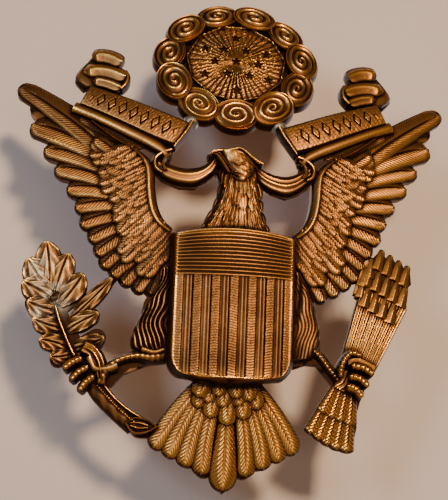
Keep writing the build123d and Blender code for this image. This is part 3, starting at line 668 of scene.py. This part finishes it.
# ---- the olive branch --------------------------------------------------------------------
LEAVES = [  # tip, base, half width, height of its bed
    ((-20.8, -0.1), (-20.1, -5.0), 1.35, 1.50), ((-18.2, -1.5), (-19.4, -5.8), 1.30, 1.42),
    ((-16.4, -3.8), (-18.9, -7.4), 1.25, 1.36), ((-22.8, -2.1), (-20.1, -5.6), 1.35, 1.46),
    ((-23.2, -4.8), (-19.9, -6.5), 1.30, 1.48), ((-22.5, -7.0), (-19.4, -7.9), 1.20, 1.42),
    ((-13.1, -4.1), (-17.7, -9.0), 0.80, 1.20), ((-14.4, -8.2), (-18.2, -10.4), 0.95, 1.30),
    ((-13.6, -10.9), (-17.6, -12.3), 0.98, 1.30), ((-21.8, -8.9), (-18.4, -9.9), 0.98, 1.34),
    ((-20.9, -11.2), (-17.8, -11.9), 0.92, 1.32), ((-19.6, -13.1), (-17.2, -12.7), 0.84, 1.28),
]


def leaf(relief, tip, base_at, half, low, bend):
    """A leaf with a rolled rim, a middle vein and side veins."""
    s, t = grid(54, 29)
    tail = np.clip((s - 0.5) / 0.5, 0, 1)
    width = half * G * (0.35 + 0.65 * smooth(-0.1, 0.5, s)) * np.clip(1 - tail ** 2.3, 0.0004, 1) ** 0.6
    x, z = along(base_at, tip, s, t, width, bend)
    reach = np.abs(t)
    near_tip = smooth(0.80, 0.96, s)
    rim = np.maximum(smooth(0.66, 0.86, reach), near_tip)
    h = low + 0.30 * (1 - reach ** 2) + 0.13 * rim + 0.25 * s
    h = h - 0.34 * smooth(0.88, 1, reach) - 0.30 * smooth(0.96, 1, s)
    h = h - 0.15 * smooth(0.10, 0.02, reach) * smooth(1, 0.8, s)
    h = h + 0.05 * np.sin(2 * math.pi * (s * 2.6 + 1.6 * reach)) * smooth(0.1, 0.4, reach)
    relief.patch(x, z, h)


def olive_branch():
    relief = Relief()
    for k, (tip, base_at, half, low) in enumerate(LEAVES):
        leaf(relief, tip, base_at, half * 1.16, low, bend=0.15 if k % 2 else -0.1)
    stem = [(-19.3, -7.6), (-18.8, -9.0), (-18.2, -10.4), (-17.2, -12.4), (-16.2, -14.0), (-14.9, -15.9),
            (-13.4, -17.5), (-11.6, -19.1), (-10.0, -20.4)]
    ribbon(relief, stem, lambda s: 0.24 + 0.70 * smooth(0.38, 0.70, s),
           lambda s, t: (rounded(1.3, 2.15)(s, t)
                         + 0.05 * np.sin(60 * s + 3 * np.cos(2 * t)) * smooth(0.4, 0.6, s)),
           rows=200, cols=17)
    beads = path([(-15.6, -14.6), (-14.2, -16.2), (-12.6, -17.8), (-10.9, -19.3), (-10.0, -19.9)], 26)
    for at in beads:
        knob(relief, at, (0.24, 0.19), 1.95, 2.42, turn=-45)
    ribbon(relief, [(-14.5, -16.5), (-12.9, -18.1), (-11.2, -19.6), (-9.6, -20.8)], 0.3, (1.4, 2.1),
           rows=50)
    ribbon(relief, [(-13.6, -16.0), (-12.2, -17.5), (-10.8, -18.6), (-9.4, -19.4), (-8.2, -20.1)],
           0.26, (1.4, 2.2), rows=50)
    place = np.random.default_rng(9)
    for k in range(46):
        at = (-16.6 + 2.4 * place.random(), -12.9 - 2.4 * place.random())
        knob(relief, at, (0.3, 0.22), 1.8, 2.45, turn=180 * place.random(), count=5, segments=12)
    tuft(relief, (-10.9, -20.2), (-7.5, -20.4), 0.95, 1.75, crown=0.12, strands=0, point=1.8, rows=40,
         cols=25)
    for bow in (-0.75, 0.75):
        ribbon(relief, [(-10.9, -20.1), (-10.0, -20.3 + bow), (-8.6, -20.35 + 0.8 * bow), (-7.6, -20.4)],
               0.12, (1.9, 2.5), rows=40, cols=7)
    for bow in (-0.28, 0.28):
        ribbon(relief, [(-10.4, -20.2 + 0.5 * bow), (-9.5, -20.3 + bow), (-8.5, -20.4 + 0.4 * bow)], 0.16,
               (1.9, 2.35), rows=30, cols=7)
    return relief


# ---- the arrows --------------------------------------------------------------------------
def arrow_head(relief, tip, base_at, half, low):
    """A long diamond-section head with a ridge down its middle."""
    s, t = grid(26, 13)
    width = np.interp(s, [0, 0.03, 0.10, 0.25, 0.6, 0.9, 1.0], [0.75, 1.12, 1.15, 0.95, 0.80, 0.62, 0.40])
    x, z = along(base_at, tip, s, t, half * G * width)
    h = low + 0.24 * (1 - np.abs(t)) + 0.34 * (1 - s)
    h = h - 0.35 * smooth(0.04, 0, s) - 0.25 * smooth(0.88, 1, s) ** 2
    relief.patch(x, z, h)


TOP_VANES = [  # root, tip
    ((12.05, -15.2), (10.95, -17.4)), ((12.75, -15.3), (11.95, -17.9)), ((13.4, -15.5), (12.9, -18.2)),
    ((14.05, -15.8), (13.9, -18.5)),
]
LOW_VANES = [
    ((11.2, -16.6), (9.75, -19.6)), ((11.95, -16.9), (10.65, -20.2)), ((12.6, -17.1), (11.6, -20.7)),
    ((13.25, -17.3), (12.6, -21.1)), ((13.9, -17.5), (13.65, -21.3)),
]


def arrow_bundle():
    relief = Relief()
    for k in range(6):
        top, foot = (15.2 + 0.92 * k, -4.2 - 0.3 * k), (12.95 + 0.66 * k, -12.2 - 0.15 * k)
        ribbon(relief, [top, ((top[0] + foot[0]) / 2, (top[1] + foot[1]) / 2), foot],
               lambda s: 0.54 - 0.13 * s,
               lambda s, t: 1.70 + 0.26 * np.sqrt(1 - 0.9 * t * t) + 0.05 * np.cos(3 * math.pi * t),
               rows=40, cols=21)
    ruled(relief, [(15.3, -0.6), (14.6, -2.4), (13.9, -4.6)], [(20.4, -1.6), (20.0, -3.4), (19.2, -6.0)],
          lambda s, t, x, z: 1.72 + 0 * x, rows=20, cols=12)
    step, back = np.array([1.03, -0.52]), np.array([-0.82, -2.25])
    for row in (2, 1, 0):
        for k in range(-1 if row else 0, 4):
            tip = np.array([17.4, 0.95]) + step * (k + 0.5 * (row % 2)) + back * row
            if tip[0] < 14.9:
                continue
            arrow_head(relief, tip, tip + np.array([-0.75, -2.65]), 0.60, 1.62 + 0.09 * row)
    for tip in ((16.2, -0.1), (15.5, -1.2), (15.2, -2.5)):
        arrow_head(relief, tip, np.array(tip) + np.array([-0.5, -2.6]), 0.56, 1.60)
    ribbon(relief, [(12.6, -13.4), (12.75, -14.6), (12.4, -15.4)], 0.75,
           lambda s, t: 1.9 + 0.25 * np.sqrt(1 - 0.9 * t * t) + 0.08 * np.sin(14 * s + 8 * t),
           rows=50, cols=17)
    for vanes, radius, low in ((LOW_VANES, 0.84, 1.45), (TOP_VANES, 0.78, 1.68)):
        for k, (root, tip) in enumerate(vanes):
            feather(relief, tip, root, radius, 0.52, low=low + 0.04 * k, tilt=0.1, crown=0.12, shaft=-0.16,
                    barb=0.42, depth=0.10, shift=0.0, lean=1.0, point=0.45, edge=0.16)
    return relief


# ---- shield ------------------------------------------------------------------------------
def shield_relief():
    relief = Relief()
    z0, z1 = -15.85 * G, 1.5 * G
    s, t = grid(230, 190)
    z = z0 + (z1 - z0) * s
    foot, corner = -15.1 * G, -12.9 * G
    width = 6.95 * G * np.ones_like(z)
    bend = np.clip((corner - z) / (corner - foot), 0, 1)
    width = width - 1.8 * G * (1 - np.sqrt(1 - bend ** 2 * 0.96))
    width = np.where(z < foot, 5.3 * G * np.clip((z - z0) / (foot - z0), 0.01, 1), width)
    x = t * width
    z = z - 0.75 * G * t * t * smooth(-4, 1.5, z / G)
    edge = np.minimum((1 - np.abs(t)) * width, np.minimum(s * (z1 - z0), (1 - s) * (z1 - z0)))
    h = 4.35 + 0.65 * (1 - (x / (7 * G)) ** 2)
    level = (z + 0.75 * G * t * t * smooth(-4, 1.5, z / G)) / G
    chief = smooth(-4.35, -4.25, level)
    line = np.abs(((level + 4.2) / 0.44) % 1 - 0.5) * 2
    h = h + chief * (0.115 * smooth(0.15, 0.85, line) - 0.02) * smooth(0.5, 0.66, edge)
    place = (x + 6.5 * G) / G
    stripe = np.floor(place)
    inside = place - stripe
    plain = (stripe % 2 == 0) & (place > 0) & (place < 13)
    body = (1 - chief) * smooth(0.66, 0.78, edge)
    grain = 0.022 * bumps(x, z, 0.21, 3) + 0.020 * np.sin(z * 2 * math.pi / 0.30 + 1.5 * np.sin(4 * x))
    lines = 0.09 * (np.abs((inside * 2.5) % 1 - 0.5) * 2 - 0.5)
    h = h + body * np.where(plain, 0.03 + grain, lines - 0.03)
    h = h - body * 0.08 * smooth(0.10, 0.0, np.minimum(inside, 1 - inside))
    h = h + 0.09 * smooth(0.14, 0.04, np.abs(edge - 0.60)) - 1.25 * smooth(0.52, 0.0, edge)
    relief.patch(x, z, np.broadcast_to(h, x.shape), base=1.6)
    return relief


# ---- cavity maps -------------------------------------------------------------------------
# Each hollow attribute, how far the heights round a point are averaged, and how deep below
# that average a point lies when it counts as fully hollow.
# the attributes also get painted shade on steep walls and each piece's painted shade or light, added in
# add_attributes
HOLLOWS = [("fine_hollow_and_shade", 0.22, 0.10), ("broad_hollow_and_shade", 0.9, 0.45)]
CELL = 0.1
MAP_LOW = np.array([-29.0, -31.0])
MAP_CELLS = (580, 660)


def blurred(values, sigma):
    """Values averaged over a soft round spot, whose size is sigma in millimetres."""
    reach = int(3 * sigma / CELL)
    kernel = np.exp(-0.5 * (np.arange(-reach, reach + 1) * CELL / sigma) ** 2)
    kernel /= kernel.sum()
    values = np.apply_along_axis(np.convolve, 0, values, kernel, "same")
    return np.apply_along_axis(np.convolve, 1, values, kernel, "same")


def upsampled(points):
    """A grid of points with two more points between each two."""
    rows, cols = points.shape[:2]
    i = np.linspace(0, rows - 1, (rows - 1) * 3 + 1)
    j = np.linspace(0, cols - 1, (cols - 1) * 3 + 1)
    i0, j0 = np.minimum(i.astype(int), rows - 2), np.minimum(j.astype(int), cols - 2)
    u, v = (i - i0)[:, None, None], (j - j0)[None, :, None]
    low, high = points[i0], points[i0 + 1]
    return (low[:, j0] * (1 - u) * (1 - v) + high[:, j0] * u * (1 - v) + low[:, j0 + 1] * (1 - u) * v
            + high[:, j0 + 1] * u * v)


def height_of(points):
    """How far points stand in front of the badge's hollow back."""
    return dome_y(points[..., 0], points[..., 2]) - points[..., 1]


def cell_of(points):
    cells = ((points[..., [0, 2]] - MAP_LOW) / CELL).astype(int)
    return np.clip(cells[..., 0], 0, MAP_CELLS[0] - 1), np.clip(cells[..., 1], 0, MAP_CELLS[1] - 1)


def cavity_maps(reliefs):
    """The average height of the relief round each cell, once for each kind of hollow."""
    top = np.full(MAP_CELLS, -1.0)
    for relief in reliefs:
        for front in relief.samples:
            fine = upsampled(front)
            np.maximum.at(top, cell_of(fine), height_of(fine))
    solid = (top > -1).astype(float)
    level = np.where(top > -1, top, 0)
    return [blurred(level * solid, blur) / np.maximum(blurred(solid, blur), 1e-4) for _, blur, _ in HOLLOWS]


# ---- materials ---------------------------------------------------------------------------
class Metal:
    """A metal material. Its methods add textures and wire them to the shader."""

    def __init__(self, name, metallic):
        self.material = bpy.data.materials.new(name)
        self.material.use_nodes = True
        self.nodes, self.links = self.material.node_tree.nodes, self.material.node_tree.links
        self.shader = self.nodes["Principled BSDF"]
        self.shader.inputs["Metallic"].default_value = metallic
        self.place = self.nodes.new("ShaderNodeTexCoord").outputs["Object"]

    def attribute(self, name):
        node = self.nodes.new("ShaderNodeAttribute")
        node.attribute_name = name
        return node.outputs["Fac"]

    def texture(self, kind, place, **settings):
        node = self.nodes.new(kind)
        for name, value in settings.items():
            node.inputs[name].default_value = value
        self.links.new(place, node.inputs["Vector"])
        return node

    def noise(self, **settings):
        return self.texture("ShaderNodeTexNoise", self.place, **settings).outputs["Fac"]

    def combine(self, operation, a, b):
        node = self.nodes.new("ShaderNodeMath")
        node.operation = operation
        for socket, value in zip(node.inputs, (a, b)):
            if isinstance(value, (int, float)):
                socket.default_value = value
            else:
                self.links.new(value, socket)
        return node.outputs[0]

    def ramp(self, value, *stops):
        """Turns a value into a colour. The stops are positions and colours."""
        node = self.nodes.new("ShaderNodeValToRGB")
        elements = node.color_ramp.elements
        for element, (position, colour) in zip((elements[0], elements[1]), (stops[0], stops[-1])):
            element.position = position
            element.color = (*colour, 1)
        for position, colour in stops[1:-1]:
            elements.new(position).color = (*colour, 1)
        self.links.new(value, node.inputs["Fac"])
        return node.outputs["Color"]

    def finish(self, colour, value, rough_at_0, rough_at_1, grain, strength, depth):
        """Sets the colour, a roughness that follows value, and a grain finer than the relief."""
        self.links.new(colour, self.shader.inputs["Base Color"])
        roughness = self.nodes.new("ShaderNodeMapRange")
        roughness.inputs["To Min"].default_value = rough_at_0
        roughness.inputs["To Max"].default_value = rough_at_1
        self.links.new(value, roughness.inputs["Value"])
        self.links.new(roughness.outputs[0], self.shader.inputs["Roughness"])
        bump = self.nodes.new("ShaderNodeBump")
        bump.inputs["Strength"].default_value = strength
        bump.inputs["Distance"].default_value = depth
        self.links.new(grain, bump.inputs["Height"])
        self.links.new(bump.outputs["Normal"], self.shader.inputs["Normal"])
        return self.material


def brass(name, bright, mid, dark, rough):
    """Struck brass: polished high points, dirt in the hollows darkened further by painted shade on steep
    walls and whole pieces, and a pale rubbed patch.
    """
    metal = Metal(name, 0.95)
    # the hollow attributes carry dirt in the hollows plus painted shade on steep walls and each piece's
    # painted shade or painted light
    patina_and_shade = metal.combine("ADD", metal.combine("MULTIPLY", metal.attribute("fine_hollow_and_shade"), 0.42),
                         metal.combine("MULTIPLY", metal.attribute("broad_hollow_and_shade"), 0.22))
    cloud = metal.noise(Scale=260, Detail=6)
    patch = metal.combine("MULTIPLY", metal.combine("SUBTRACT", cloud, 0.5), 0.50)
    patina_and_shade = metal.combine("ADD", metal.combine("ADD", patina_and_shade, patch), 0.46)
    shaded_patina = metal.ramp(patina_and_shade, (0.08, bright), (0.42, mid), (0.85, dark))
    streaks = metal.noise(Scale=520, Detail=4, Distortion=1.2)
    contrast = metal.combine("MULTIPLY", metal.combine("SUBTRACT", streaks, 0.38), 3.2)
    bare = metal.combine("MULTIPLY", metal.attribute("worn"), metal.combine("MINIMUM", contrast, 0.85))
    rubbed = metal.nodes.new("ShaderNodeMix")
    rubbed.data_type = "RGBA"
    metal.links.new(bare, rubbed.inputs["Factor"])
    metal.links.new(shaded_patina, rubbed.inputs["A"])
    rubbed.inputs["B"].default_value = (0.70, 0.58, 0.40, 1)
    return metal.finish(rubbed.outputs["Result"], patina_and_shade, rough - 0.06, rough + 0.28,
                        metal.noise(Scale=5200, Detail=3), 0.25, 0.00006)


def plain_metal(name, light, dark, rough, scale, turned=False):
    """Plain metal with cloudy tarnish and, if turned, fine rings round the post."""
    metal = Metal(name, 0.9)
    cloud = metal.noise(Scale=scale, Detail=5)
    colour = metal.ramp(cloud, (0.35, dark), (0.62, light))
    if turned:
        centred = metal.texture("ShaderNodeMapping", metal.place, Location=(0, 0, -POST_Z * MM))
        wave = metal.texture("ShaderNodeTexWave", centred.outputs["Vector"], Scale=1400, Distortion=0.6)
        wave.wave_type = "RINGS"
        wave.rings_direction = "Y"
        grain = wave.outputs["Fac"]
    else:
        grain = metal.noise(Scale=2600)
    return metal.finish(colour, cloud, rough + 0.14, rough - 0.10, grain, 0.3, 0.00004)


STRUCK = brass("struck_brass", (0.76, 0.355, 0.072), (0.31, 0.130, 0.038), (0.035, 0.013, 0.005), 0.31)
PLAIN = plain_metal("plain_brass", (0.52, 0.30, 0.10), (0.24, 0.12, 0.04), 0.38, 420)
TURNED = plain_metal("turned_brass", (0.66, 0.42, 0.15), (0.42, 0.23, 0.075), 0.30, 300, turned=True)
SOLDER = plain_metal("solder", (0.42, 0.37, 0.31), (0.20, 0.165, 0.13), 0.46, 700)
CARRIED = {
    "shield_rivets": PLAIN, "post_base": PLAIN, "locating_pin_left": PLAIN, "locating_pin_right": PLAIN,
    "cloud_solder": SOLDER, "post_solder": SOLDER, "pin_solder_left": SOLDER, "pin_solder_right": SOLDER,
    "clamp_washer": TURNED, "thumb_nut": TURNED,
}


# ---- pieces ------------------------------------------------------------------------------
# How much darker (above 0) or brighter (below 0) each piece is painted than its relief alone makes it:
# painted shade on the left wing, which faces away from the lamp, and painted light on the tail and arrows,
# which the lamps' reflections miss; the shield and thighs are painted darker and the neck, head and clouds
# lighter.
PIECE_PAINTED_SHADE = {"shield_face": 0.28, "thighs": 0.25, "wing_left": 0.15, "neck": -0.1, "head": -0.12, "clouds": -0.14,
       "tail": -0.32, "arrows": -0.40}


def add_object(name, data):
    piece = bpy.data.objects.new(name, data)
    bpy.context.scene.collection.objects.link(piece)
    return piece


def closed_mesh(name, points, faces):
    """A closed mesh from points in millimetres, with its faces turned outwards."""
    mesh = bpy.data.meshes.new(name)
    mesh.from_pydata((points * MM).tolist(), [], faces)
    shape = bmesh.new()
    shape.from_mesh(mesh)
    bmesh.ops.recalc_face_normals(shape, faces=shape.faces)
    shape.to_mesh(mesh)
    shape.free()
    return mesh


def finish_mesh(mesh, material, sharp_angle):
    """Gives a mesh one material, and smooth faces with creases where it bends sharply."""
    mesh.materials.clear()
    mesh.materials.append(material)
    mesh.shade_smooth()
    mesh.set_sharp_from_angle(angle=math.radians(sharp_angle))


def add_attributes(mesh, points, maps, painted_piece_shade=0.0):
    """Stores how deep each point lies in the relief, with painted shade added on steep side walls and the
    piece's painted shade (above 0) or painted light (below 0), and how worn it is.
    """
    cells = cell_of(points)
    height = height_of(points)
    facing = np.array([v.normal.y for v in mesh.vertices])
    facing_back, painted_wall_shade = facing > 0.4, smooth(-0.80, -0.40, facing)
    for (name, _, depth), average in zip(HOLLOWS, maps):
        values = np.clip((average[cells] - height) / depth, -1, 1)
        # painted shade: steep side walls are painted darker, and each piece is painted darker or lighter by
        # its own amount, on top of the depth in the hollows
        values = np.clip(values + painted_wall_shade + painted_piece_shade, -1, 1)
        values = np.where(facing_back, 0.2, values)
        mesh.attributes.new(name, "FLOAT", "POINT").data.foreach_set("value", values.astype(np.float32))
    worn = np.zeros(len(points))
    for x, z, radius in WORN_SPOTS:
        away = np.hypot(points[:, 0] - x, points[:, 2] - z) / radius
        worn = np.maximum(worn, np.exp(-away ** 2) * ~facing_back)
    mesh.attributes.new("worn", "FLOAT", "POINT").data.foreach_set("value", worn.astype(np.float32))


def make_piece(name, relief, maps, material, slot, *replaced):
    points = np.vstack(relief.points)
    mesh = closed_mesh(name, points, relief.faces)
    # each piece's painted shade or painted light is added to its hollow attributes
    add_attributes(mesh, points, maps, PIECE_PAINTED_SHADE.get(name, 0.0))
    finish_mesh(mesh, material, 50)
    piece = add_object(name, mesh)
    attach(piece, "badge")
    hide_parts(*replaced)


def dome_slab(low, high, place, reach):
    """A closed slab between two heights, to trim a sheet with."""
    side = np.linspace(-reach, reach, 90)
    x, z = np.meshgrid(side, side, indexing="ij")
    slab = Relief(place)
    top = slab.add(x, z, np.full(x.shape, high))
    foot = slab.add(x, z, np.full(x.shape, low))
    for ids in (top, foot):
        slab.quads(ids[:-1, :-1], ids[:-1, 1:], ids[1:, 1:], ids[1:, :-1])
    for edge in (np.s_[0], np.s_[-1], np.s_[:, 0], np.s_[:, -1]):
        a, b = top[edge], foot[edge]
        slab.quads(a[:-1], a[1:], b[1:], b[:-1])
    return add_object("slab", closed_mesh("slab", np.vstack(slab.points), slab.faces))


def sheet_under(node, maps, material, high=SHEET, place=on_badge, reach=36.0):
    """The plain sheet that a node's relief is struck on: the CAD node cut down in height."""
    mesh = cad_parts[node].data.copy()
    sheet = add_object(node + "_sheet", mesh)
    shape = bmesh.new()
    shape.from_mesh(mesh)
    bmesh.ops.remove_doubles(shape, verts=shape.verts, dist=1e-6)
    shape.to_mesh(mesh)
    shape.free()
    slab = dome_slab(BEHIND, high, place, reach)
    cut = sheet.modifiers.new("cut", "BOOLEAN")
    cut.operation = "INTERSECT"
    cut.solver = "EXACT"
    cut.object = slab
    bpy.context.view_layer.update()
    trimmed = bpy.data.meshes.new_from_object(sheet.evaluated_get(bpy.context.evaluated_depsgraph_get()))
    sheet.modifiers.clear()
    sheet.data = trimmed
    bpy.data.objects.remove(slab)
    points = np.array([v.co for v in trimmed.vertices]).reshape(-1, 3) / MM
    add_attributes(trimmed, points, maps)
    finish_mesh(trimmed, material, 30)
    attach(sheet, "badge")
    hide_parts(node)


def threaded_post():
    """The screw post with its real thread, and the plain pilot at its end."""
    start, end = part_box("screw_post")[0][1] / MM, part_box("screw_post")[1][1] / MM
    y = np.concatenate([np.arange(start, THREAD_END, PITCH / 10),
                        [THREAD_END, THREAD_END + 0.02, end - PILOT_BEVEL, end]])[:, None]
    turn = np.linspace(0, 2 * math.pi, 48, endpoint=False)[None, :]
    crest = np.abs(((y / PITCH - turn / (2 * math.pi)) % 1) - 0.5) * 2
    thread = THREAD_RADIUS - THREAD_DEPTH + THREAD_DEPTH * np.clip(1.25 * crest - 0.1, 0, 1)
    thread = thread - (thread - PILOT_RADIUS) * smooth(THREAD_END - 0.35, THREAD_END, y)
    radius = np.where(y > THREAD_END, PILOT_RADIUS, thread) - np.where(y == end, PILOT_BEVEL, 0)
    post = Relief()
    points = np.stack(np.broadcast_arrays(radius * np.cos(turn), y, POST_Z + radius * np.sin(turn)), -1)
    ids = np.arange(radius.size).reshape(radius.shape)
    post.quads(ids[:-1], np.roll(ids, -1, axis=1)[:-1], np.roll(ids, -1, axis=1)[1:], ids[1:])
    post.faces += [ids[0].tolist(), ids[-1, ::-1].tolist()]
    mesh = closed_mesh("threaded_post", points.reshape(-1, 3), post.faces)
    finish_mesh(mesh, PLAIN, 35)
    piece = add_object("threaded_post", mesh)
    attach(piece, "badge")
    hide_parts("screw_post")


# ---- assembly ----------------------------------------------------------------------------
RELIEFS = {
    "wing_left": (wing(-1), "eagle_plate"),
    "wing_right": (wing(1), "eagle_plate"),
    "tail": (tail(), "eagle_plate"),
    "thighs": (thighs(), "eagle_plate"),
    "feet": (feet(), "eagle_plate"),
    "neck": (neck(), "eagle_plate"),
    "head": (head(), "eagle_plate"),
    "shield_face": (shield_relief(), "shield"),
    "clouds": (clouds(), "cloud_ring"),
    "scroll_band_left": (scroll(-1, RIBBON_LEFT_TOP, RIBBON_LEFT_LOW, 2.5), "scroll_left"),
    "scroll_band_right": (scroll(1, RIBBON_RIGHT_TOP, RIBBON_RIGHT_LOW, 3.5), "scroll_right"),
    "branch": (olive_branch(), "olive_branch"),
    "arrows": (arrow_bundle(), "arrow_bundle"),
}
maps = cavity_maps([relief for relief, node in RELIEFS.values()])
for name, (relief, node) in RELIEFS.items():
    make_piece(name, relief, maps, STRUCK, "worn_brass" if node == "olive_branch" else "struck_brass", node)
sheet_under("eagle_plate", maps, STRUCK)
sheet_under("cloud_ring", maps, STRUCK, 0.66, place=on_clouds, reach=13.0)
sheet_under("scroll_left", maps, STRUCK, 1.5)
sheet_under("scroll_right", maps, STRUCK, 1.5)
sheet_under("olive_branch", maps, STRUCK, 1.2)
sheet_under("arrow_bundle", maps, STRUCK, 1.4)
threaded_post()
for name, material in CARRIED.items():
    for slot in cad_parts[name].material_slots:
        slot.material = material


# ---- stage, camera and light -------------------------------------------------------------
def stage_plane():
    mesh = bpy.data.meshes.new("table")
    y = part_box("screw_post")[1][1] + 0.0003      # just behind the end of the post
    r = 0.5
    mesh.from_pydata([(-r, y, -r), (r, y, -r), (r, y, r), (-r, y, r)], [], [(0, 1, 2, 3)])
    table = add_object("table", mesh)
    material = bpy.data.materials.new("table")
    material.use_nodes = True
    nodes, links = material.node_tree.nodes, material.node_tree.links
    shader = nodes["Principled BSDF"]
    shader.inputs["Base Color"].default_value = (0.56, 0.450, 0.410, 1)
    shader.inputs["Roughness"].default_value = 0.55
    clear = nodes.new("ShaderNodeBsdfTransparent")
    mix = nodes.new("ShaderNodeMixShader")
    geometry = nodes.new("ShaderNodeNewGeometry")
    links.new(geometry.outputs["Backfacing"], mix.inputs["Fac"])
    links.new(shader.outputs[0], mix.inputs[1])
    links.new(clear.outputs[0], mix.inputs[2])
    links.new(mix.outputs[0], nodes["Material Output"].inputs["Surface"])
    mesh.materials.append(material)
    table.visible_shadow = False


def add_camera():
    azimuth, elevation, roll = (math.radians(a) for a in (-5.25, -15.95, 1.77))
    back = Vector((math.sin(azimuth) * math.cos(elevation), -math.cos(azimuth) * math.cos(elevation),
                   math.sin(elevation)))
    right = Vector((math.cos(azimuth), math.sin(azimuth), 0))
    up = back.cross(right)
    across = right * math.cos(roll) + up * math.sin(roll)
    upward = up * math.cos(roll) - right * math.sin(roll)
    camera = add_object("camera", bpy.data.cameras.new("camera"))
    turn = Matrix((across, upward, back)).transposed().to_4x4()
    camera.matrix_world = Matrix.Translation(Vector((-13.24, -139.76, -38.81)) * MM) @ turn
    camera.data.lens = 87.8
    camera.data.clip_start = 0.001
    bpy.context.scene.camera = camera


LIGHTS = [  # name, place in metres, width, height, power, colour
    ("lamp", (0.065, -0.345, 0.085), 0.045, 0.045, 1.40, (1.0, 0.75, 0.48)),
    ("window", (-0.20, -0.33, 0.06), 0.075, 0.13, 0.62, (0.62, 0.80, 1.0)),
    ("fill", (0.06, -0.42, -0.10), 0.16, 0.16, 0.26, (1.0, 0.80, 0.58)),
    ("behind", (-0.15, 0.35, 0.25), 0.30, 0.30, 2.2, (1.0, 0.92, 0.84)),
    ("behind_low", (0.30, 0.25, 0.02), 0.20, 0.20, 1.0, (0.9, 0.95, 1.0)),
]


def add_lights():
    for name, where, width, height, power, colour in LIGHTS:
        light = bpy.data.lights.new(name, "AREA")
        light.energy = power
        light.color = colour
        light.shape = "RECTANGLE"
        light.size = width
        light.size_y = height
        lamp = add_object(name, light)
        lamp.location = where
        lamp.rotation_euler = (-Vector(where)).to_track_quat("-Z", "Y").to_euler()


def add_world():
    """A pale floor below and a dim room above."""
    world = bpy.data.worlds.new("world")
    world.use_nodes = True
    nodes, links = world.node_tree.nodes, world.node_tree.links
    nodes["Background"].inputs["Color"].default_value = (0.62, 0.52, 0.44, 1)
    direction = nodes.new("ShaderNodeTexCoord")
    parts = nodes.new("ShaderNodeSeparateXYZ")
    links.new(direction.outputs["Generated"], parts.inputs[0])
    level = nodes.new("ShaderNodeMapRange")
    for socket, value in (("From Min", -0.25), ("From Max", 0.15), ("To Min", 0.34), ("To Max", 0.05)):
        level.inputs[socket].default_value = value
    links.new(parts.outputs["Z"], level.inputs["Value"])
    links.new(level.outputs[0], nodes["Background"].inputs["Strength"])
    bpy.context.scene.world = world


stage_plane()
add_camera()
add_lights()
add_world()
